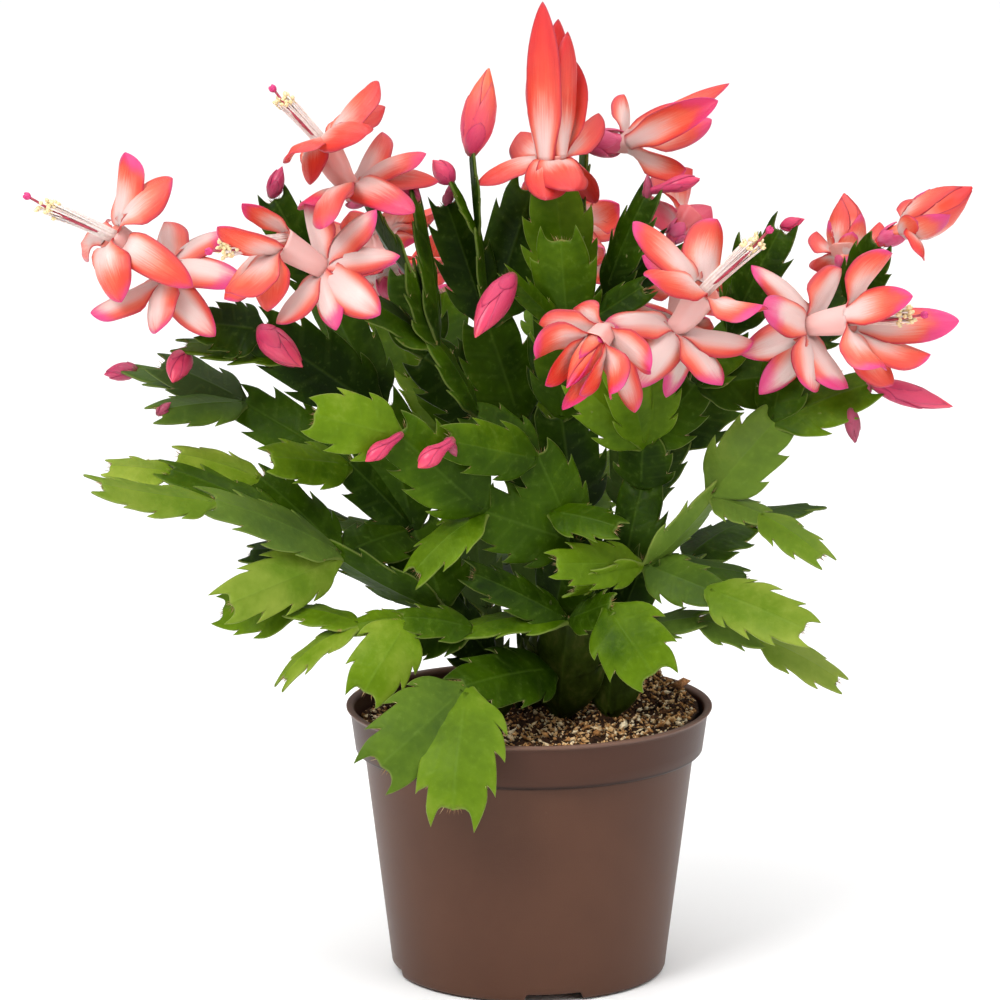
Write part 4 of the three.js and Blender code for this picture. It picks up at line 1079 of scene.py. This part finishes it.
def pot_paint():
    """Matte brown plastic: faint turned rings, a fine pebble, a little dust, a painted shadow line
    under the band, painted shade over the band and above it, and a painted highlight on the lip"""
    p = Paint("brown_plastic")
    spot = p.place()
    dust = p.noise(spot, 24.0, 4.0)
    pebble = p.noise(spot, 2600.0, 2.0)
    turned = p.noise(p.place(0.02, 0.02, 1.0), 700.0, 2.0)
    fleck = p.noise(spot, 520.0, 5.0, 0.75).step(0.7, 0.78)
    high = p.node("ShaderNodeSeparateXYZ", None, {0: spot}, out=2)

    def above(low, full):
        return high.step(low * MM, full * MM)

    # Painted shadow: a dark line just under the band's overhang
    line = above(SHOULDER - 1.2, SHOULDER - 0.3) * (1 - above(SHOULDER + 0.6, SHOULDER + 1.6))
    base = p.over("4f3224",
                  (dust.step(0.3, 0.75) * 0.6, "5a3b2b"),
                  # Painted shade: everything from the shoulder up, band, lip and inner wall, is
                  # darker
                  (above(SHOULDER - 0.5, SHOULDER + 1.5) * 0.5, "331a12"),
                  (line * 0.8, "1c0e09"),
                  # Painted highlight: a paler top of the lip
                  (above(POT_HEIGHT - 1.9, POT_HEIGHT - 0.8) * 0.6, "7d6052"),
                  (fleck * 0.35, "8b7264"))
    return p.finish(base, 0.4 + (dust - 0.5) * 0.16 + (pebble - 0.5) * 0.08,
                    pebble * 0.5 + turned * 0.5, 0.00012, 0.45, Specular_IOR_Level=0.2)


def peat_paint():
    """Peat and chips: each crumb takes its own brown, tan or cream, speckled finer still"""
    p = Paint("peat_mix")
    tone, side = p.marks("tone", "side")
    spot = p.place()
    grit, crumb = p.noise(spot, 700.0, 5.0, 0.7), p.noise(spot, 260.0)
    share = (tone + (grit - 0.5) * 0.6 + (crumb - 0.5) * 0.3).clipped()
    base = p.ramp(share, (0.0, "160c06"), (0.25, "52341f"), (0.5, "b47f4a"), (0.75, "e6ba80"),
                  (1.0, "faeac6"))
    return p.finish(p.over(base, (side, "9a4a26")), 0.92, grit + crumb, 0.0012, 0.9,
                    Specular_IOR_Level=0.2)


silk = petal_paint()
satin = bud_paint()
bundle = [
    plain_paint("white_filament", "e8d2ca", "f2e6dc", 900.0, 0.45, Subsurface_Weight=0.2),
    plain_paint("cream_anther", "e2c98e", "f4e8bf", 1500.0, 0.75, 0.0004),
    plain_paint("red_style", "8c2432", "b03c50", 700.0, 0.4),
    plain_paint("magenta_stigma", "b81a62", "d83c80", 1200.0, 0.45),
]

# ---- Stems: a round crown at each root, then the pads ----
leaf = leaf_paint()
hairs = Skin()
for stem, rows in pads.items():
    skin = Skin()
    x, y = ROOTS[stem]
    z = [58, 74] + [soil_top(x, y) - low for low in (3.4, 2.4, 1.6, 1.1, 0.8)]
    radii = ROOT_RADIUS * np.array([1, 1, 1, 0.98, 0.9, 0.74, 0.5])
    skin.rings(loft([(x, y, high) for high in z], radii, 24, 0.06, 3, 2.0),
               along=0.5, across=0.5, side=1.0)
    for row in rows:
        pad(skin, hairs, *row)
    skin.piece(stem + "_pads", [leaf], stem)
hairs.piece("areole_bristles", [bristle_paint()])

# ---- Blooms of the front ----
for number, (name, key, rear, mouth, stigma, rear_tips, front_tips) in enumerate(BLOOMS):
    look = PLAIN | LOOKS.get(name, {})
    red, pale, lip, slim = look["red"], look["pale"], look["mouth"], look["slim"]
    low, high = sheet(*rear), sheet(*mouth)
    axis = unit(high - low)
    seat = seat_on(key, unit(low - grown[key]["tip"]), BLOOM_SEAT)
    rolled = look["closed"] and len(rear_tips) < 4
    skin = Skin()
    bloom_tube(skin, seat, low, high, axis, red, pale, lip, look["back"])
    base_scales(skin, seat, low, number, look["neck"])
    whorl(skin, low, axis, NECK_OUT, NECK_BACK, petal_tips(rear, rear_tips, low),
          REAR_PETAL * (ROLLED if rolled else slim), number * 31, red, min(1, pale + 0.1))
    tips = petal_tips(mouth, front_tips, high)
    if look["closed"]:
        spindle(skin, low - axis * 2, np.mean([tip for tip, *_ in tips], 0), look["closed"], red,
                number + 200, 0.15)
    if not rolled:
        whorl(skin, high, axis, lip * LIP_OUT, look["back"], tips, FRONT_PETAL * slim,
              number * 31 + 15, min(1, red + 0.12), pale * 0.38)
    skin.piece(name + "_petals", [silk], name)
    if stigma:
        skin = Skin()
        stamens(skin, high, axis, sheet(*stigma), number * 7 + 1)
        node = name.replace("bloom", "stamens")
        skin.piece(node + "_bundle", bundle, node)

# ---- Blooms of the back, two even whorls each ----
for i, (name, key) in enumerate(BACK_BLOOMS.items()):
    axis = unit(grown[key]["d"] + RISE * 0.25)
    seat = seat_on(key, axis, BLOOM_SEAT)
    low, high = seat + axis * BACK_NECK, seat + axis * BACK_LENGTH
    u, v = square_to(axis)
    skin = Skin()
    bloom_tube(skin, seat, low, high, axis, *(PLAIN[w] for w in ("red", "pale", "mouth", "back")))
    base_scales(skin, seat, low, 40 + i, PLAIN["neck"])
    for centre, row in zip((low, high), BACK_WHORLS):
        many, turn, drop, rim, back, width, seed, red, pale = row
        tips = []
        for k in range(many):
            chance = i * 20 + k
            out = wheel(u, v, turn + k * 2 * math.pi / many) * (20 + 4.5 * uneven(chance + turn))
            tip = centre + out + axis * (drop + 9 * (uneven(chance + 0.5) - 0.5))
            tips.append((tip, 0, 1))
        whorl(skin, centre, axis, rim, back, tips, width, seed + i * 20, red, pale, False)
    skin.piece(name + "_petals", [silk], name)

# ---- Buds ----
for number, (name, key, a, b, c, width, *lift) in enumerate(BUDS):
    tip = sheet(a, b, c)
    seat = seat_on(key, unit(tip - grown[key]["tip"]), 1, *lift)
    red = 1.0 if width > 10 else (0.62 if width > 6.5 else BUD_RED.get(name, 0.2))
    skin = Skin()
    spindle(skin, seat, tip, width, red, 50 + number, stalk=STALK if name in STALKED else 0.0)
    skin.piece(name + "_scales", [satin], name)

skin = Skin()
for number, (key, a, b, width, *edge) in enumerate(LATE_BUDS):
    at = grown[key]
    along, across = edge or (AREOLE - 0.01, 0.0)
    seat = at["start"] + at["d"] * at["length"] * along + at["side"] * across
    spindle(skin, seat, sheet(a, b, -seat[1]), width, 0.0, 80 + number)
skin.piece("late_buds", [satin])


# ---- Pot and peat ----

def turned(profile, columns, change):
    """Rings about the upright axis from (radius, height) pairs, whose heights change may move"""
    r, z = np.array(profile, float).T[:, :, None]
    angle = np.arange(columns) * 2 * np.pi / columns
    x, y = r * np.cos(angle), r * np.sin(angle)
    return np.stack([x, y, change(r, z + 0 * x, angle)], 2)


def foot_notches(r, z, angle):
    """Lifts the foot to the notch height where a notch crosses it"""
    for k in range(NOTCHES):
        centre = math.radians(NOTCH_TURN - 90 + k * 360 / NOTCHES)
        off = (angle - centre + np.pi) % (2 * np.pi) - np.pi
        inside = (np.abs(off) < 1.2) & (np.abs(r * np.sin(off)) < NOTCH_WIDTH / 2)
        inside = inside & (r > NOTCH_INNER) & (z < NOTCH_HEIGHT)
        z = np.where(inside, NOTCH_HEIGHT + 0.02 * z, z)
    return z


def heaped(x, y):
    """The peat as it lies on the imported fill: a heap behind the stems, a mound round each root, and
    clumps and crumbs by four octaves of crossed sines, all dying out at the wall"""
    heap = HEAP_HEIGHT * np.exp(-((x - HEAP_SPOT[0]) ** 2 + (y - HEAP_SPOT[1]) ** 2) / HEAP_SPREAD)
    for root_x, root_y in ROOTS.values():
        far = (x - root_x) ** 2 + (y - root_y) ** 2
        heap = heap + MOUND_HEIGHT * np.exp(-far / MOUND_SPREAD)
    sin = np.sin
    crumbs = (0.9 * sin(0.5 * x + 1.1 * sin(0.4 * y)) * sin(0.55 * y + 1.3 * sin(0.45 * x))
              + 0.85 * sin(1.1 * x + 1.3 * sin(0.9 * y)) * sin(1.3 * y + 1.1 * sin(0.8 * x))
              + 0.5 * sin(2.3 * x + 2 * sin(1.9 * y)) * sin(2.1 * y + 0.4)
              + 0.2 * sin(4.9 * x + 1.7 * y) * sin(4.3 * y - 2.2 * x))
    return soil_top(x, y) + (heap + crumbs) * smooth(56, 51, np.hypot(x, y))


def peat_relief(r, z, angle):
    """Lays the face of the filling on the heaped surface"""
    return np.where(z > FACE_FROM, heaped(r * np.cos(angle), r * np.sin(angle)), z)


def slope(low, high, foot, rise, shares):
    """Points of a straight wall from radius low to high, starting at foot and climbing by rise"""
    return [(low + (high - low) * t, foot + rise * t) for t in shares]


outside = [(8, 0), (20, 0), (32, 0), (36.9, 0), (37.1, 0), (40, 0), (BODY_FOOT - 1.1, 0),
           (BODY_FOOT - 0.35, 0.3), (BODY_FOOT, 1.1), (BODY_FOOT + 0.2, 2.6)]
outside += slope(BODY_FOOT, BODY_TOP, 1.2, SHOULDER - 1.4, np.linspace(0.05, 0.99, 14))
outside += [(BODY_TOP + 0.1, SHOULDER - 0.15), (BODY_TOP + 0.8, SHOULDER),
            (BAND_FOOT - 0.5, SHOULDER + 0.15)]
outside += slope(BAND_FOOT, BAND_TOP, SHOULDER + 0.7, 11.8, (0, 0.3, 0.6, 0.9, 1))
outside += [(58.35, 86.2), (58.9, 86.6), (59.4, 87), (59.6, 87.35), (59.6, 87.7), (59.35, 87.95),
            (58.9, 88), (58.2, 87.9), (57.4, 87.6), (57, 87)]
inside = [(BAND_TOP - WALL, 86), (BAND_FOOT - WALL, SHOULDER + 2),
          (BODY_TOP - WALL, SHOULDER + 0.6), (BODY_FOOT - WALL, 4), (33.5, 4), (32, 1.5), (10, 1.5)]
skin = Skin()
skin.rings(turned(outside + inside, 300, foot_notches))
skin.piece("pot_wall", [pot_paint()], "pot")

gap = WALL + 0.35
filling = [(8, 1.9), (31.4, 1.9), (32.8, 4.4), (BODY_FOOT - gap - 0.1, 4.4),
           (BODY_TOP - gap - 0.3, SHOULDER + 0.8), (BAND_FOOT - gap - 0.3, SHOULDER + 3),
           (BAND_FOOT - gap + 0.5, 82)]
filling += [(r, 90) for r in np.linspace(55.5, 0.6, 56)]
skin = Skin()
skin.rings(turned(filling, 180, peat_relief), tone=0.1)

# Grains and chips lie on the peat, clear of the roots: each is an eight-sided crumb, stretched,
# tipped and spun by its own uneven numbers
k = np.arange(GRAINS)
far = GRAIN_REACH * np.sqrt(uneven(k + 0.1))
around = 2 * np.pi * uneven(k + 0.6)
spot = np.stack([far * np.cos(around), far * np.sin(around)], 1)
clear = np.ones(GRAINS, bool)
for x, y in ROOTS.values():
    clear &= np.hypot(spot[:, 0] - x, spot[:, 1] - y) > ROOT_CLEAR
size = 0.42 + 0.8 * uneven(k + 0.33) ** 2 + 0.9 * (uneven(k + 0.8) > 0.965)
tint = np.where(uneven(k + 0.27) > 0.36, 0.5 + 0.5 * uneven(k + 0.91),
                0.05 + 0.45 * uneven(k + 0.41))
corners = np.array([[1, 0, 0], [-1, 0, 0], [0, 1, 0], [0, -1, 0], [0, 0, 1], [0, 0, -1]], float)
eight = np.array([[0, 2, 4], [2, 1, 4], [1, 3, 4], [3, 0, 4],
                  [2, 0, 5], [1, 2, 5], [3, 1, 5], [0, 3, 5]])
for i in np.flatnonzero(clear):
    form = np.array([0.9 + 1.8 * uneven(i + 0.12) ** 3, 0.6 + 0.4 * uneven(i + 0.5),
                     0.45 + 0.4 * uneven(i + 0.7)])
    a, t = 2 * np.pi * uneven(i + 0.2), 1.7 * (uneven(i + 0.4) - 0.5)
    spin = np.array([[math.cos(a), -math.sin(a), 0], [math.sin(a), math.cos(a), 0], [0, 0, 1]])
    tip = np.array([[math.cos(t), 0, math.sin(t)], [0, 1, 0], [-math.sin(t), 0, math.cos(t)]])
    grain = (corners * form * size[i] * 0.8) @ tip.T @ spin.T
    high = float(heaped(*spot[i])) + 0.3 * size[i]
    skin.add(grain + [*spot[i], high], [eight], tone=tint[i])
bark = np.array([[1, 0, 0.5], [-0.9, 0, 0.1], [0.1, 0.6, 0.1], [-0.1, -0.7, 0.3], [0.3, 0, 0.8],
                 [0, 0, -0.3]]) * BARK_SIZE
skin.add(bark + [*BARK_SPOT, float(heaped(*BARK_SPOT)) + 2.0], [eight], tone=0.75, side=0.6)
skin.piece("peat", [peat_paint()], "soil")

# ---- Stage, light and camera ----
floor = bpy.data.meshes.new("pale_floor")
floor.from_pydata([(x, y, FLOOR_HEIGHT) for x, y in ((-20, -20), (20, -20), (20, 20), (-20, 20))],
                  [], [(0, 1, 2, 3)])
floor.materials.append(plain_paint("pale_floor_paint", "f7f7f7", "f9f9f9", 3.0, 0.9, 0.0))
set_up("pale_floor", floor)

for name, (spot, size, power) in LAMPS.items():
    light = bpy.data.lights.new(name, "AREA")
    light.shape, light.size, light.energy = "SQUARE", size, power
    aim = Vector(np.array(LAMP_AIM) - np.array(spot))
    set_up(name, light, spot, aim.to_track_quat("-Z", "Y").to_euler())

# A white room, a little brighter overhead than at the sides
world = bpy.data.worlds.new("white_room")
world.use_nodes = True
nodes, links = world.node_tree.nodes, world.node_tree.links
way = nodes.new("ShaderNodeTexCoord")
parts = nodes.new("ShaderNodeSeparateXYZ")
rise = nodes.new("ShaderNodeMapRange")
for socket, value in ROOM.items():
    rise.inputs[socket].default_value = value
links.new(way.outputs["Generated"], parts.inputs[0])
links.new(parts.outputs["Z"], rise.inputs["Value"])
links.new(rise.outputs["Result"], nodes["Background"].inputs["Strength"])
nodes["Background"].inputs["Color"].default_value = (1, 1, 1, 1)
bpy.context.scene.world = world
bpy.context.scene.view_settings.view_transform = "Standard"

camera = bpy.data.cameras.new("camera")
camera.sensor_width, camera.lens = 36, CAMERA_LENS
camera.clip_start, camera.clip_end = 0.05, 60
bpy.context.scene.camera = set_up(
    "camera", camera, (EYE["across"] * MM, -EYE["away"] * MM, EYE["up"] * MM),
    (math.radians(90 - CAMERA_DOWN), 0, 0))
